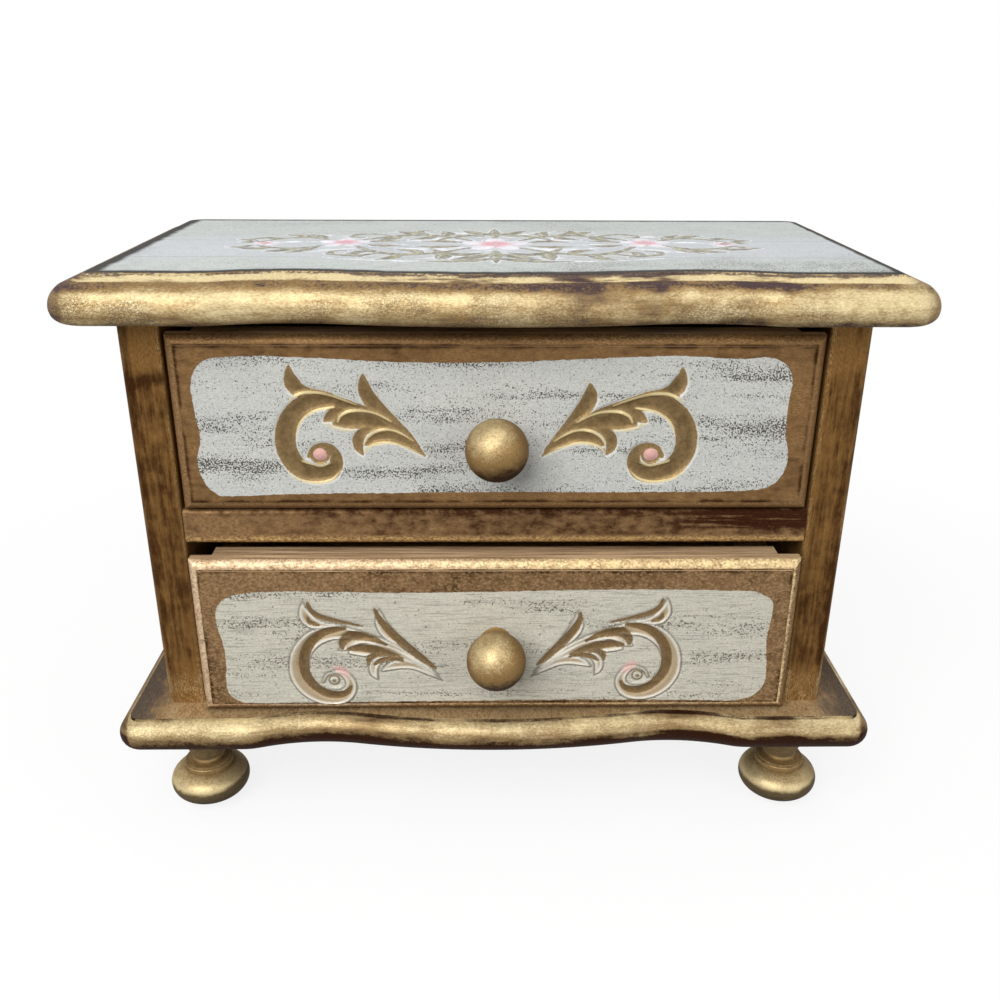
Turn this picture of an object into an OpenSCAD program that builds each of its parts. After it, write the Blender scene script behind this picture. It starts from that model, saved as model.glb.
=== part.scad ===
// Small two-drawer jewelry chest with moulded serpentine top and base, turned
// feet and ball knobs. Millimetres, +Z up, front towards -Y, standing on Z = 0.

/* [Carcass] */
// Width over the two side boards
carcass_w = 230; // [210:1:300]
// Depth from the front edge of the sides to their back edge
carcass_d = 112; // [90:1:160]
// Thickness of each side board
side_t = 13; // [10:0.5:18]
// Clear height of the upper drawer opening
upper_opening_h = 63; // [55:0.5:90]
// Clear height of the lower drawer opening
lower_opening_h = 62; // [55:0.5:90]
// Thickness of the divider between the drawers
divider_t = 12; // [8:0.5:18]
// Round on the front edges of the sides and the divider
front_arris_r = 1.6; // [0.5:0.1:3]
// Thickness of the back panel
back_t = 4; // [3:0.5:6]
// Width of the rabbet that holds the back panel in each side
back_rabbet = 6; // [4:0.5:8]

/* [Top board] */
// Thickness of the top
top_t = 14; // [13:0.5:20]
// Overhang of the top at each side, to the nose of its moulding
top_side_overhang = 17; // [12:0.5:22]
// Overhang of the top at the front and the back
top_end_overhang = 15; // [12:0.5:22]
// Drop of the bevel round the top face
top_bevel_h = 2.1; // [1.5:0.1:4]
// Width of that bevel
top_bevel_w = 4.2; // [2:0.1:5]
// Radius under the nose of the top
top_lip_r = 4.2; // [3:0.1:5]

/* [Base board] */
// Thickness of the base
base_t = 12.5; // [10:0.5:16]
// Overhang of the base at each side, to the nose of its moulding
base_side_overhang = 16; // [12:0.5:22]
// Overhang of the base at the front and the back
base_end_overhang = 14; // [12:0.5:22]
// Height of the small step behind the rounded edge
base_step_h = 1; // [0.5:0.1:2]
// Distance of that step behind the nose
base_step_d = 4.4; // [3:0.1:4.5]

/* [Serpentine front] */
// Distance of each hollow from the middle
hollow_x = 60; // [50:1:64]
// Depth of the hollows behind the ears
hollow_depth = 4.2; // [2.5:0.1:6]
// Distance of each shoulder from the middle
shoulder_x = 88; // [82:1:92]
// Radius of the shoulders
shoulder_r = 24; // [16:1:30]
// How far the middle bows out past the ears
bow_out = 1; // [0:0.1:4]
// Radius of the front corners
front_corner_r = 8; // [6:0.5:14]
// Radius of the back corners
back_corner_r = 16; // [12:0.5:22]

/* [Feet] */
// Height of a foot from the floor to the base
foot_h = 34; // [28:0.5:44]
// Distance of each foot's axis from the nose of the base
foot_inset = 24; // [17:0.5:34]
// Diameter of the bun
bun_d = 28.4; // [24:0.2:32]
// Height of the bun
bun_h = 16.6; // [13:0.2:19]
// Radius of the bun's rim
bun_rim_r = 5.2; // [4:0.1:5.8]
// Height cut off the bun for the flat that it stands on
bun_flat = 0.6; // [0.4:0.1:1]
// Diameter of the collar on the bun
collar_d = 17.6; // [15:0.2:18]
// Height of the lower step of the collar
collar_h = 1.9; // [1:0.1:2.4]
// Height of the upper step of the collar
bead_h = 0.8; // [0.4:0.1:1.4]
// Width of the ledge between the two steps
bead_ledge = 0.8; // [0.4:0.1:1.2]
// Diameter of the neck
neck_d = 11; // [10:0.2:13]
// Height of the cove between collar and neck
neck_cove_h = 1.8; // [1:0.1:2.4]
// Diameter of the pad under the base
pad_d = 25; // [20:0.2:28]
// Height of the pad
pad_h = 4; // [2:0.2:5]
// Diameter of the tenon that is glued into the base
tenon_d = 9; // [6:0.2:12]
// Length of the tenon
tenon_l = 8.5; // [6:0.5:9]

/* [Drawers] */
// Gap between a drawer and each side of its opening
drawer_play = 1.2; // [0.6:0.1:2]
// Gap above the upper drawer front
upper_top_gap = 4.7; // [1:0.1:6]
// Gap above the lower drawer front
lower_top_gap = 3.7; // [1:0.1:6]
// Gap under a drawer front
front_foot_gap = 0.8; // [0.4:0.1:2]
// Running gap under the drawer sides
runner_gap = 0.2; // [0.1:0.05:0.5]
// Gap between a closed drawer and the back panel
stop_gap = 1.5; // [1:0.1:4]
// How far the lower drawer stands open
lower_pull = 4; // [0:0.5:10]
// Thickness of a drawer front
front_t = 12; // [10:0.5:16]
// Width of the rounded moulding round a drawer front
front_edge_w = 3.2; // [2.6:0.1:4]
// Depth of the sharp step inside that moulding
front_edge_step = 0.6; // [0.3:0.1:1]
// How far the moulding falls back to the outer edge
front_edge_fall = 2.8; // [2:0.1:3]
// Thickness of the drawer sides and back
box_t = 7; // [5:0.5:9]
// Height of the drawer sides
box_h = 46; // [36:0.5:48]
// Round on the upper edges of the drawer sides and back
box_edge_r = 1.5; // [0.5:0.1:2.2]
// Depth of the rabbet at each end of the front that takes a drawer side
front_rabbet = 6; // [4:0.5:6.5]
// Height of the bottom panel above the lower edge of the sides
bottom_lift = 4; // [3:0.5:8]
// Thickness of the bottom panel
bottom_t = 3; // [2:0.5:4]
// Depth of the groove that holds the bottom panel
groove_d = 3; // [2:0.5:4]
// Thickness of the felt lining
lining_t = 1.5; // [1:0.1:3]
// Gap between the lining and the drawer walls
lining_gap = 0.5; // [0.2:0.1:2]

/* [Knobs] */
// Diameter of the ball
knob_d = 19.4; // [16:0.2:24]
// Length of the neck between drawer front and ball
knob_neck_l = 3.6; // [2:0.1:6]
// Diameter of the neck at the ball
knob_neck_d = 8.6; // [7:0.1:11]
// Diameter of the neck where it meets the drawer front
knob_seat_d = 11; // [9:0.2:14]
// Drop of the upper knob below the middle of its drawer front
upper_knob_drop = 3.5; // [0:0.1:6]
// Drop of the lower knob below the middle of its drawer front
lower_knob_drop = 1; // [0:0.1:6]

/* [Fasteners] */
// Diameter of the dowels in the carcass
dowel_d = 6; // [4:0.5:7]
// Length of the dowels in the carcass
dowel_l = 16; // [12:0.5:18]
// Distance of the dowels from the front and back edges of the carcass
dowel_inset = 28; // [24:1:40]
// Shank diameter of the knob screws
screw_d = 3.6; // [3:0.1:4.2]
// Length of the knob screws under the head
screw_l = 22; // [19:0.5:26]
// Head diameter of the knob screws
screw_head_d = 7.6; // [6:0.2:9]
// Head height of the knob screws
screw_head_h = 2.4; // [1.6:0.1:3]
// Shank diameter of the brads
brad_d = 1.2; // [0.9:0.1:1.6]
// Length of the brads under the head
brad_l = 14; // [11:0.5:18]
// Head diameter of the brads
brad_head_d = 2.4; // [1.9:0.1:3]
// Head thickness of the brads
brad_head_h = 0.5; // [0.3:0.1:0.8]
// Distance of the brads from the ends of the board that they hold
brad_inset = 10; // [6:0.5:14]
// Number of brads down each side of the back panel
back_brads = 4; // [2:1:8]
// Gap round every pin, dowel, tenon and panel in its hole or groove
fit_gap = 0.1; // [0.05:0.01:0.2]

/* [Hidden] */
$fn = 72;

opening_w = carcass_w - 2 * side_t;
carcass_h = lower_opening_h + divider_t + upper_opening_h;
carcass_z = foot_h + base_t;
divider_z = carcass_z + lower_opening_h;
upper_z = divider_z + divider_t;
top_z = carcass_z + carcass_h;
top_w = carcass_w + 2 * top_side_overhang;
top_d = carcass_d + 2 * top_end_overhang;
base_w = carcass_w + 2 * base_side_overhang;
base_d = carcass_d + 2 * base_end_overhang;

// Drawer sizes; a drawer's y is measured from the front face of the closed carcass
front_w = opening_w - 2 * drawer_play;
upper_front_h = upper_opening_h - front_foot_gap - upper_top_gap;
lower_front_h = lower_opening_h - front_foot_gap - lower_top_gap;
front_back_y = front_t - front_edge_fall;
drawer_l = carcass_d - back_t - stop_gap;
inner_w = front_w - 2 * box_t;
bottom_z = runner_gap + bottom_lift;
inner_z = bottom_z + bottom_t;
box_top_z = runner_gap + box_h;
brad_rows = [inner_z + brad_inset, box_top_z - brad_inset];
brad_columns = [front_back_y - front_rabbet / 2, drawer_l - box_t / 2];
upper_knob_z = front_foot_gap + upper_front_h / 2 - upper_knob_drop;
lower_knob_z = front_foot_gap + lower_front_h / 2 - lower_knob_drop;

// Knob reach in front of its drawer front
ball_y = knob_neck_l + sqrt(pow(knob_d, 2) - pow(knob_neck_d, 2)) / 2;
knob_reach = ball_y + knob_d / 2;

// The origin lies under the middle of the whole object, knobs included
front_most = -carcass_d / 2 - front_edge_fall - lower_pull - knob_reach;
middle_y = -(front_most + top_d / 2) / 2;
face_y = middle_y - carcass_d / 2;

// Places of the feet and of the dowels
foot_x = base_w / 2 - foot_inset;
foot_y = base_d / 2 - foot_inset;
dowel_x = (carcass_w - side_t) / 2;
dowel_y = carcass_d / 2 - dowel_inset;
divider_d = carcass_d - back_t;

// Serpentine front: the shoulders and the bow run smoothly into the hollows
hollow_r = (pow(shoulder_x - hollow_x, 2) + pow(hollow_depth, 2)) / (2 * hollow_depth) - shoulder_r;
bow_depth = hollow_depth + bow_out;
bow_r = (pow(hollow_x, 2) + pow(bow_depth, 2)) / (2 * bow_depth) - hollow_r;
shoulder_angle = asin((shoulder_x - hollow_x) / (shoulder_r + hollow_r));
bow_angle = asin(hollow_x / (bow_r + hollow_r));

// Steps along the arcs
bow_steps = 9;
hollow_steps = 9;
shoulder_steps = 4;
corner_steps = 8;
section_steps = 6;
turning_steps = 10;
// Angle on the nose of the top where the bevel begins
crease_angle = 95;
// Smallest round left at the inner edge of a moulded corner
least_corner_r = 1;
// Overlap that keeps cuts and joined shapes clear of shared faces
cut = 1;

gold = "#a07c48";
dark_gold = "#7a5c38";
cream = "#cdd0c8";
bare_wood = "#c9a878";
dark_wood = "#5a4028";
felt_red = "#6a1f2a";
steel = "#8c8a86";

// Points on an arc about a centre, in equal steps
function arc(centre, r, from, to, steps) =
    [for (i = [0 : steps]) let (a = from + (to - from) * i / steps) centre + r * [cos(a), sin(a)]];

// Stations along an outline: place and inward direction, round an outward or an inward bend
function outward(centre, r, from, to, steps, first = 0) =
    [for (i = [first : steps]) let (a = from + (to - from) * i / steps)
        [centre + r * [cos(a), sin(a)], -[cos(a), sin(a)]]];
function inward(centre, r, from, to, steps, first = 0) =
    [for (i = [first : steps]) let (a = from + (to - from) * i / steps)
        [centre + r * [cos(a), sin(a)], [cos(a), sin(a)]]];

// Stations round a corner; the inner edge stays rounded where the section is deeper than the radius
function corner(w, d, r, depth, end) = let (
        inner_r = max(r - depth, least_corner_r),
        nose_centre = [w / 2 - r, end * (d / 2 - r)],
        inner_centre = [w / 2 - depth - inner_r, end * (d / 2 - depth - inner_r)]
    ) [for (i = [0 : corner_steps]) let (
        a = 45 * (end - 1) + 90 * i / corner_steps,
        nose = nose_centre + r * [cos(a), sin(a)],
        inner = inner_centre + inner_r * [cos(a), sin(a)]
    ) [nose, (inner - nose) / depth]];

// Right half of a board's outline, from the middle of the front to the back
function half_outline(w, d, depth) = concat(
    outward([0, bow_r - bow_out - d / 2], bow_r, 270, 270 + bow_angle, bow_steps),
    inward([hollow_x, hollow_depth - hollow_r - d / 2], hollow_r,
        90 + bow_angle, 90 - shoulder_angle, hollow_steps, 1),
    outward([shoulder_x, shoulder_r - d / 2], shoulder_r, 270 - shoulder_angle, 270, shoulder_steps, 1),
    corner(w, d, front_corner_r, depth, -1),
    corner(w, d, back_corner_r, depth, 1)
);

function mirrored(station) = [for (v = station) [-v.x, v.y]];

// Whole outline, anticlockwise from above
function outline(half) = concat(half, [for (i = [len(half) - 1 : -1 : 1]) mirrored(half[i])]);

// Edge sections from the underside to the upper face: distance behind the nose, height
nose_r = top_t - top_bevel_h - top_lip_r;
nose_end = arc([nose_r, top_lip_r], nose_r, 180, crease_angle, section_steps);
top_section_d = nose_end[section_steps].x + top_bevel_w;
top_section = concat(
    arc([top_lip_r, top_lip_r], top_lip_r, 270, 180, section_steps),
    [for (i = [1 : section_steps]) nose_end[i]],
    [[top_section_d, top_t]]
);
bead_r = (base_t - base_step_h) / 2;
bead_end_angle = 180 - acos(1 - base_step_d / bead_r);
bead_end = arc([bead_r, bead_r], bead_r, 180, bead_end_angle, section_steps);
base_section = concat(
    arc([bead_r, bead_r], bead_r, 270, 180, section_steps),
    [for (i = [1 : section_steps]) bead_end[i]],
    [[base_step_d, base_t]]
);

// Board with its edge section carried round an outline, standing on z = 0
module moulded_board(stations, section) {
    n = len(stations);
    m = len(section);
    points = [for (s = stations, p = section) let (q = s[0] + p.x * s[1]) [q.x, q.y, p.y]];
    sides = [for (i = [0 : n - 1], j = [0 : m - 2]) let (k = (i + 1) % n)
        [i * m + j, i * m + j + 1, k * m + j + 1, k * m + j]];
    upper = [for (i = [n - 1 : -1 : 0]) i * m + m - 1];
    lower = [for (i = [0 : n - 1]) i * m];
    polyhedron(points, concat(sides, [upper, lower]));
}

// Rectangle on y = 0, centred on x, with its two upper corners rounded
module rounded_edge(w, h, r) {
    difference() {
        translate([-w / 2, 0]) square([w, h]);
        for (side = [0, 1]) mirror([side, 0]) difference() {
            translate([w / 2 - r, h - r]) square(r + cut);
            translate([w / 2 - r, h - r]) circle(r);
        }
    }
}

// Section of a drawer front, lying on its back, with the stepped round moulding on both edges
module moulded_edge(w) {
    fall = front_edge_fall - front_edge_step;
    round_r = (pow(front_edge_w, 2) + pow(fall, 2)) / (2 * fall);
    step_x = w / 2 - front_edge_w;
    end_angle = acos(front_edge_w / round_r);
    edge = concat(
        arc([step_x, front_t - front_edge_step - round_r], round_r, end_angle, 90, turning_steps),
        [[step_x, front_t]]
    );
    polygon(concat(
        edge, [for (i = [len(edge) - 1 : -1 : 0]) [-edge[i].x, edge[i].y]],
        [[-w / 2, 0], [w / 2, 0]]
    ));
}

// Brad pointing along +z, with the underside of its head at the origin
module brad() {
    cylinder(d = brad_d, h = brad_l);
    translate([0, 0, -brad_head_h]) cylinder(d = brad_head_d, h = brad_head_h);
}

module brad_hole() {
    translate([0, 0, -cut]) cylinder(d = brad_d + 2 * fit_gap, h = cut + brad_l + fit_gap);
}

// Puts a brad, or its hole, at each place down both sides of the back panel
module at_back_brads() {
    spacing = (carcass_h - 2 * brad_inset) / (back_brads - 1);
    for (side = [-1, 1], i = [0 : back_brads - 1])
        translate([
            side * (opening_w + back_rabbet) / 2, middle_y + carcass_d / 2,
            carcass_z + brad_inset + i * spacing
        ]) rotate([90, 0, 0]) children();
}

// Puts a brad, or its hole, at each place in the corners of a drawer box
module at_drawer_brads() {
    for (side = [-1, 1], y = brad_columns, z = brad_rows)
        translate([side * front_w / 2, y, z]) rotate([0, -side * 90, 0]) children();
}

// Puts a dowel, or its hole, across each joint of the carcass, centred on the joint
module at_dowels() {
    for (side = [-1, 1], end = [-1, 1]) translate([0, middle_y + end * dowel_y, 0]) {
        for (z = [carcass_z, top_z]) translate([side * dowel_x, 0, z]) children();
        translate([side * opening_w / 2, 0, divider_z + divider_t / 2]) rotate([0, 90, 0]) children();
    }
}

module dowel_hole() {
    cylinder(d = dowel_d + 2 * fit_gap, h = dowel_l + 2 * fit_gap, center = true);
}

module at_foot(side, end) {
    translate([side * foot_x, middle_y + end * foot_y, 0]) children();
}

module top_board() {
    color(gold) difference() {
        translate([0, middle_y, top_z])
            moulded_board(outline(half_outline(top_w, top_d, top_section_d)), top_section);
        at_dowels() dowel_hole();
    }
}

module base_board() {
    color(dark_gold) difference() {
        translate([0, middle_y, foot_h])
            moulded_board(outline(half_outline(base_w, base_d, base_step_d)), base_section);
        at_dowels() dowel_hole();
        for (side = [-1, 1], end = [-1, 1]) at_foot(side, end) translate([0, 0, foot_h - cut])
            cylinder(d = tenon_d + 2 * fit_gap, h = cut + tenon_l + fit_gap);
    }
}

module side_board(side) {
    color(dark_gold) difference() {
        translate([side * dowel_x, middle_y + carcass_d / 2, carcass_z]) rotate([0, 0, 180])
            linear_extrude(carcass_h) rounded_edge(side_t, carcass_d, front_arris_r);
        translate([
            side * (opening_w + back_rabbet - cut) / 2,
            middle_y + (carcass_d + cut - back_t) / 2,
            carcass_z + carcass_h / 2
        ]) cube([back_rabbet + cut, back_t + cut, carcass_h + 2 * cut], center = true);
        at_dowels() dowel_hole();
        at_back_brads() brad_hole();
    }
}

module left_side() {
    side_board(-1);
}

module right_side() {
    side_board(1);
}

module drawer_divider() {
    color(dark_gold) difference() {
        translate([-opening_w / 2, face_y + divider_d, divider_z + divider_t / 2]) rotate([180, 0, 0])
            rotate([0, 90, 0]) linear_extrude(opening_w) rounded_edge(divider_t, divider_d, front_arris_r);
        at_dowels() dowel_hole();
    }
}

module back_panel() {
    panel_w = opening_w + 2 * back_rabbet - 2 * fit_gap;
    color(dark_wood) difference() {
        translate([-panel_w / 2, face_y + divider_d, carcass_z]) cube([panel_w, back_t, carcass_h]);
        at_back_brads() brad_hole();
    }
}

module carcass_dowels() {
    color(bare_wood) at_dowels() cylinder(d = dowel_d, h = dowel_l, center = true);
}

module back_panel_brads() {
    color(steel) at_back_brads() brad();
}

// Turned foot: a flattened bun under a stepped collar, a neck that flares, a pad and a tenon
module turned_foot() {
    bun_r = bun_d / 2;
    crown_r = (pow(bun_r - bun_rim_r, 2) + pow(bun_h / 2, 2) - pow(bun_rim_r, 2)) / (bun_h - 2 * bun_rim_r);
    rim_angle = atan2(crown_r - bun_h / 2, bun_r - bun_rim_r);
    flat_angle = asin((crown_r - bun_flat) / crown_r);
    collar_angle = acos(collar_d / 2 / crown_r);
    crown_z = bun_h - bun_flat - crown_r;
    collar_z = crown_z + crown_r * sin(collar_angle) + collar_h;
    bead_x = collar_d / 2 - bead_ledge;
    cove_w = bead_x - neck_d / 2;
    pad_r = pad_d / 2 - pad_h / 2;
    rotate_extrude() polygon(concat(
        [[0, 0]],
        arc([0, crown_r - bun_flat], crown_r, -flat_angle, -rim_angle, turning_steps),
        arc([bun_r - bun_rim_r, bun_h / 2 - bun_flat], bun_rim_r, -rim_angle, rim_angle, turning_steps),
        arc([0, crown_z], crown_r, rim_angle, collar_angle, section_steps),
        [[collar_d / 2, collar_z], [bead_x, collar_z]],
        [for (a = [0 : 90 / section_steps : 90])
            [bead_x - cove_w * sin(a), collar_z + bead_h + neck_cove_h * (1 - cos(a))]],
        arc([pad_r, foot_h - pad_h / 2], pad_h / 2, -90, 90, section_steps),
        [[tenon_d / 2, foot_h], [tenon_d / 2, foot_h + tenon_l], [0, foot_h + tenon_l]]
    ));
}

module front_left_foot() {
    color(gold) at_foot(-1, -1) turned_foot();
}

module front_right_foot() {
    color(gold) at_foot(1, -1) turned_foot();
}

module rear_left_foot() {
    color(gold) at_foot(-1, 1) turned_foot();
}

module rear_right_foot() {
    color(gold) at_foot(1, 1) turned_foot();
}

// Drawer pieces, standing on the floor of the opening with y = 0 at the carcass front
module drawer_front(front_h, knob_z) {
    rabbet_y = front_back_y - front_rabbet;
    difference() {
        intersection() {
            translate([-front_w / 2 - cut, front_back_y, front_foot_gap + front_h / 2]) rotate([180, 0, 0])
                rotate([0, 90, 0]) linear_extrude(front_w + 2 * cut) moulded_edge(front_h);
            translate([0, front_back_y, front_foot_gap - cut]) rotate([0, 0, 180])
                linear_extrude(front_h + 2 * cut) moulded_edge(front_w);
        }
        for (side = [0, 1]) mirror([side, 0, 0]) translate([inner_w / 2, rabbet_y, front_foot_gap - cut])
            cube([box_t + cut, front_rabbet + cut, front_h + 2 * cut]);
        translate([-inner_w / 2 - cut, front_back_y - groove_d, bottom_z - fit_gap])
            cube([inner_w + 2 * cut, groove_d + cut, bottom_t + 2 * fit_gap]);
        translate([0, front_back_y + cut, knob_z]) rotate([90, 0, 0])
            cylinder(d = screw_d + 2 * fit_gap, h = front_t + 2 * cut);
        at_drawer_brads() brad_hole();
    }
}

module drawer_side(side) {
    side_l = drawer_l - front_back_y + front_rabbet;
    difference() {
        translate([side * (front_w - box_t) / 2, drawer_l, runner_gap]) rotate([90, 0, 0])
            linear_extrude(side_l) rounded_edge(box_t, box_h, box_edge_r);
        translate([side * (inner_w + groove_d - cut) / 2, drawer_l - side_l / 2, bottom_z + bottom_t / 2])
            cube([groove_d + cut, side_l + 2 * cut, bottom_t + 2 * fit_gap], center = true);
        at_drawer_brads() brad_hole();
    }
}

module drawer_back() {
    difference() {
        translate([-inner_w / 2, drawer_l - box_t / 2, inner_z]) rotate([90, 0, 90])
            linear_extrude(inner_w) rounded_edge(box_t, box_top_z - inner_z, box_edge_r);
        at_drawer_brads() brad_hole();
    }
}

module drawer_bottom() {
    panel_w = inner_w + 2 * groove_d - 2 * fit_gap;
    panel_y = front_back_y - groove_d + fit_gap;
    translate([-panel_w / 2, panel_y, bottom_z]) cube([panel_w, drawer_l - panel_y, bottom_t]);
}

module drawer_lining() {
    felt_w = inner_w - 2 * lining_gap;
    felt_l = drawer_l - box_t - front_back_y - 2 * lining_gap;
    translate([-felt_w / 2, front_back_y + lining_gap, inner_z]) cube([felt_w, felt_l, lining_t]);
}

// Ball knob on the middle of a drawer front, pointing forwards
module knob(knob_z) {
    translate([0, -front_edge_fall, knob_z]) rotate([90, 0, 0]) difference() {
        union() {
            translate([0, 0, ball_y]) sphere(d = knob_d);
            cylinder(d1 = knob_seat_d, d2 = knob_neck_d, h = knob_neck_l + cut);
        }
        translate([0, 0, -cut]) cylinder(d = screw_d + 2 * fit_gap, h = 2 * cut + screw_l - front_t);
    }
}

module knob_screw(knob_z) {
    head_top_d = screw_head_d - screw_head_h;
    translate([0, front_back_y, knob_z]) rotate([90, 0, 0]) {
        cylinder(d = screw_d, h = screw_l);
        translate([0, 0, -screw_head_h / 2]) cylinder(d = screw_head_d, h = screw_head_h / 2);
        translate([0, 0, -screw_head_h]) cylinder(d1 = head_top_d, d2 = screw_head_d, h = screw_head_h / 2);
    }
}

module in_upper_opening() {
    translate([0, face_y, upper_z]) children();
}

module in_lower_opening() {
    translate([0, face_y - lower_pull, carcass_z]) children();
}

module upper_drawer_front() {
    color(cream) in_upper_opening() drawer_front(upper_front_h, upper_knob_z);
}

module upper_drawer_left_side() {
    color(bare_wood) in_upper_opening() drawer_side(-1);
}

module upper_drawer_right_side() {
    color(bare_wood) in_upper_opening() drawer_side(1);
}

module upper_drawer_back() {
    color(bare_wood) in_upper_opening() drawer_back();
}

module upper_drawer_bottom() {
    color(bare_wood) in_upper_opening() drawer_bottom();
}

module upper_drawer_lining() {
    color(felt_red) in_upper_opening() drawer_lining();
}

module upper_drawer_brads() {
    color(steel) in_upper_opening() at_drawer_brads() brad();
}

module upper_knob() {
    color(gold) in_upper_opening() knob(upper_knob_z);
}

module upper_knob_screw() {
    color(steel) in_upper_opening() knob_screw(upper_knob_z);
}

module lower_drawer_front() {
    color(cream) in_lower_opening() drawer_front(lower_front_h, lower_knob_z);
}

module lower_drawer_left_side() {
    color(bare_wood) in_lower_opening() drawer_side(-1);
}

module lower_drawer_right_side() {
    color(bare_wood) in_lower_opening() drawer_side(1);
}

module lower_drawer_back() {
    color(bare_wood) in_lower_opening() drawer_back();
}

module lower_drawer_bottom() {
    color(bare_wood) in_lower_opening() drawer_bottom();
}

module lower_drawer_lining() {
    color(felt_red) in_lower_opening() drawer_lining();
}

module lower_drawer_brads() {
    color(steel) in_lower_opening() at_drawer_brads() brad();
}

module lower_knob() {
    color(gold) in_lower_opening() knob(lower_knob_z);
}

module lower_knob_screw() {
    color(steel) in_lower_opening() knob_screw(lower_knob_z);
}

top_board();
base_board();
left_side();
right_side();
drawer_divider();
back_panel();
carcass_dowels();
back_panel_brads();
front_left_foot();
front_right_foot();
rear_left_foot();
rear_right_foot();
upper_drawer_front();
upper_drawer_left_side();
upper_drawer_right_side();
upper_drawer_back();
upper_drawer_bottom();
upper_drawer_lining();
upper_drawer_brads();
upper_knob();
upper_knob_screw();
lower_drawer_front();
lower_drawer_left_side();
lower_drawer_right_side();
lower_drawer_back();
lower_drawer_bottom();
lower_drawer_lining();
lower_drawer_brads();
lower_knob();
lower_knob_screw();
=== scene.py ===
"""Looks of the painted and gilded jewelry drawer chest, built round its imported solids."""
import math

import bmesh
import bpy
import numpy as np
from mathutils import Matrix, Vector


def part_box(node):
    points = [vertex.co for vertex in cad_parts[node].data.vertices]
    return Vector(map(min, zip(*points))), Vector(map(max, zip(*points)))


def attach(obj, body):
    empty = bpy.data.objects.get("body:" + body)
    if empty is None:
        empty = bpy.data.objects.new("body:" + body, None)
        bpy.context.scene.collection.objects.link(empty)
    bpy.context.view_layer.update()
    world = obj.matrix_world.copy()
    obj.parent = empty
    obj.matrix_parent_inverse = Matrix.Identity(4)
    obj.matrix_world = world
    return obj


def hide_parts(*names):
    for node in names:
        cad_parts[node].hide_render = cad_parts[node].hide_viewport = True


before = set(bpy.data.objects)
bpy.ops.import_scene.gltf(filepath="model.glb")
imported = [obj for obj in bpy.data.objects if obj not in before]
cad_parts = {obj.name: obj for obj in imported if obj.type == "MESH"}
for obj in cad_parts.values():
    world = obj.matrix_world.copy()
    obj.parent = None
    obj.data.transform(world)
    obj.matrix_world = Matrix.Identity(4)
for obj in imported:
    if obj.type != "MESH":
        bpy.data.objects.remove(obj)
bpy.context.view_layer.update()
MM_PER_M = 1000.0


def colour(code):
    """Linear colour from a written one."""
    parts = [int(code[i:i + 2], 16) / 255 for i in (1, 3, 5)]
    linear = [c / 12.92 if c <= 0.04045 else ((c + 0.055) / 1.055) ** 2.4 for c in parts]
    return (*linear, 1.0)


# Colours of the gilding
GOLD = colour("#846338")
RUBBED_GOLD = colour("#dcc796")
UMBER = colour("#2c1a14")
EDGE_TINT = colour("#6a543a")
TOP_GOLD = colour("#927850")
TOP_UMBER = colour("#493a3c")
BASE_GOLD = colour("#927a56")
BASE_UMBER = colour("#301a0f")
MOULDING_RUBBED = colour("#d8c79c")
LEVEL_GOLD = colour("#9c7d58")
LEVEL_GLAZE = colour("#584d44")
LEVEL_RUBBED = colour("#cdb58a")
TURNED_GOLD = colour("#90744b")
TURNED_UMBER = colour("#2e1a0c")
TURNED_RUBBED = colour("#d6c498")
POST_GOLD = colour("#86643a")
POST_UMBER = colour("#3f2612")
DIVIDER_GOLD = colour("#8f7150")
DIVIDER_UMBER = colour("#3a2114")
DIVIDER_RUBBED = colour("#d9b878")

# Colours of the drawer fronts
UPPER_GOLD = colour("#8b6c49")
LOWER_GOLD = colour("#8c6f50")
FRONT_UMBER = colour("#3a2412")
RUBBED_LEFT = colour("#dcc3a4")
RUBBED_RIGHT = colour("#e8d0a0")
BARE_EDGE = colour("#d4b692")
FRAME_DABS = colour("#b3966f")
COOL_CREAM = colour("#d4d5d2")
WARM_CREAM = colour("#d8d4c6")
SPECK = colour("#3d382f")
LOWER_SPECK = colour("#5f594c")
WIDE_SCROLL_GOLD = colour("#957e5a")
WIDE_SCROLL_UMBER = colour("#4c3c28")
SCROLL_HALO = colour("#e4e2d8")
RIDGE_RUB_AND_HIGHLIGHT = colour("#dfcd9c")
RIMMED_SCROLL_GOLD = colour("#7d6544")
RIMMED_SCROLL_UMBER = colour("#463220")
SCROLL_OUTLINE = colour("#5d5345")
RIM_PALE = colour("#e6e1d4")
RIM_TAN = colour("#b49c7a")
EYE_PINK = colour("#e6b4ae")

# Colours of the painted top
TOP_PAINT = colour("#bec4c3")
TOP_SPECK = colour("#5a5850")
TOP_LINE = colour("#2a2520")
GARLAND_GROUND = colour("#c6c8d6")
GARLAND_LIGHT = colour("#eceef2")
LEAF_DARK = colour("#57513a")
LEAF_LIGHT = colour("#9c946f")
PETAL = colour("#e2dde6")
ROSE = colour("#d48f98")
VEIN = colour("#f0f0ee")
DRAWN_LINE = colour("#554a3c")

# Colours of the bare wood, the felt and the steel
BARE = colour("#b98f5c")
BARE_DARK = colour("#8a6238")
STAIN = colour("#4a321e")
STAIN_DARK = colour("#2a1b10")
FELT = colour("#5a1420")
FELT_LIGHT = colour("#7a2430")
FELT_SHADE = colour("#3a0c14")
STEEL = colour("#9a9893")
STEEL_DULL = colour("#5e564c")


def node_box(name):
    """Lowest and highest corner of a CAD node, in millimetres."""
    low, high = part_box(name)
    return np.array(low) * MM_PER_M, np.array(high) * MM_PER_M


# Curves and fields for the carving and the painting

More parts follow.
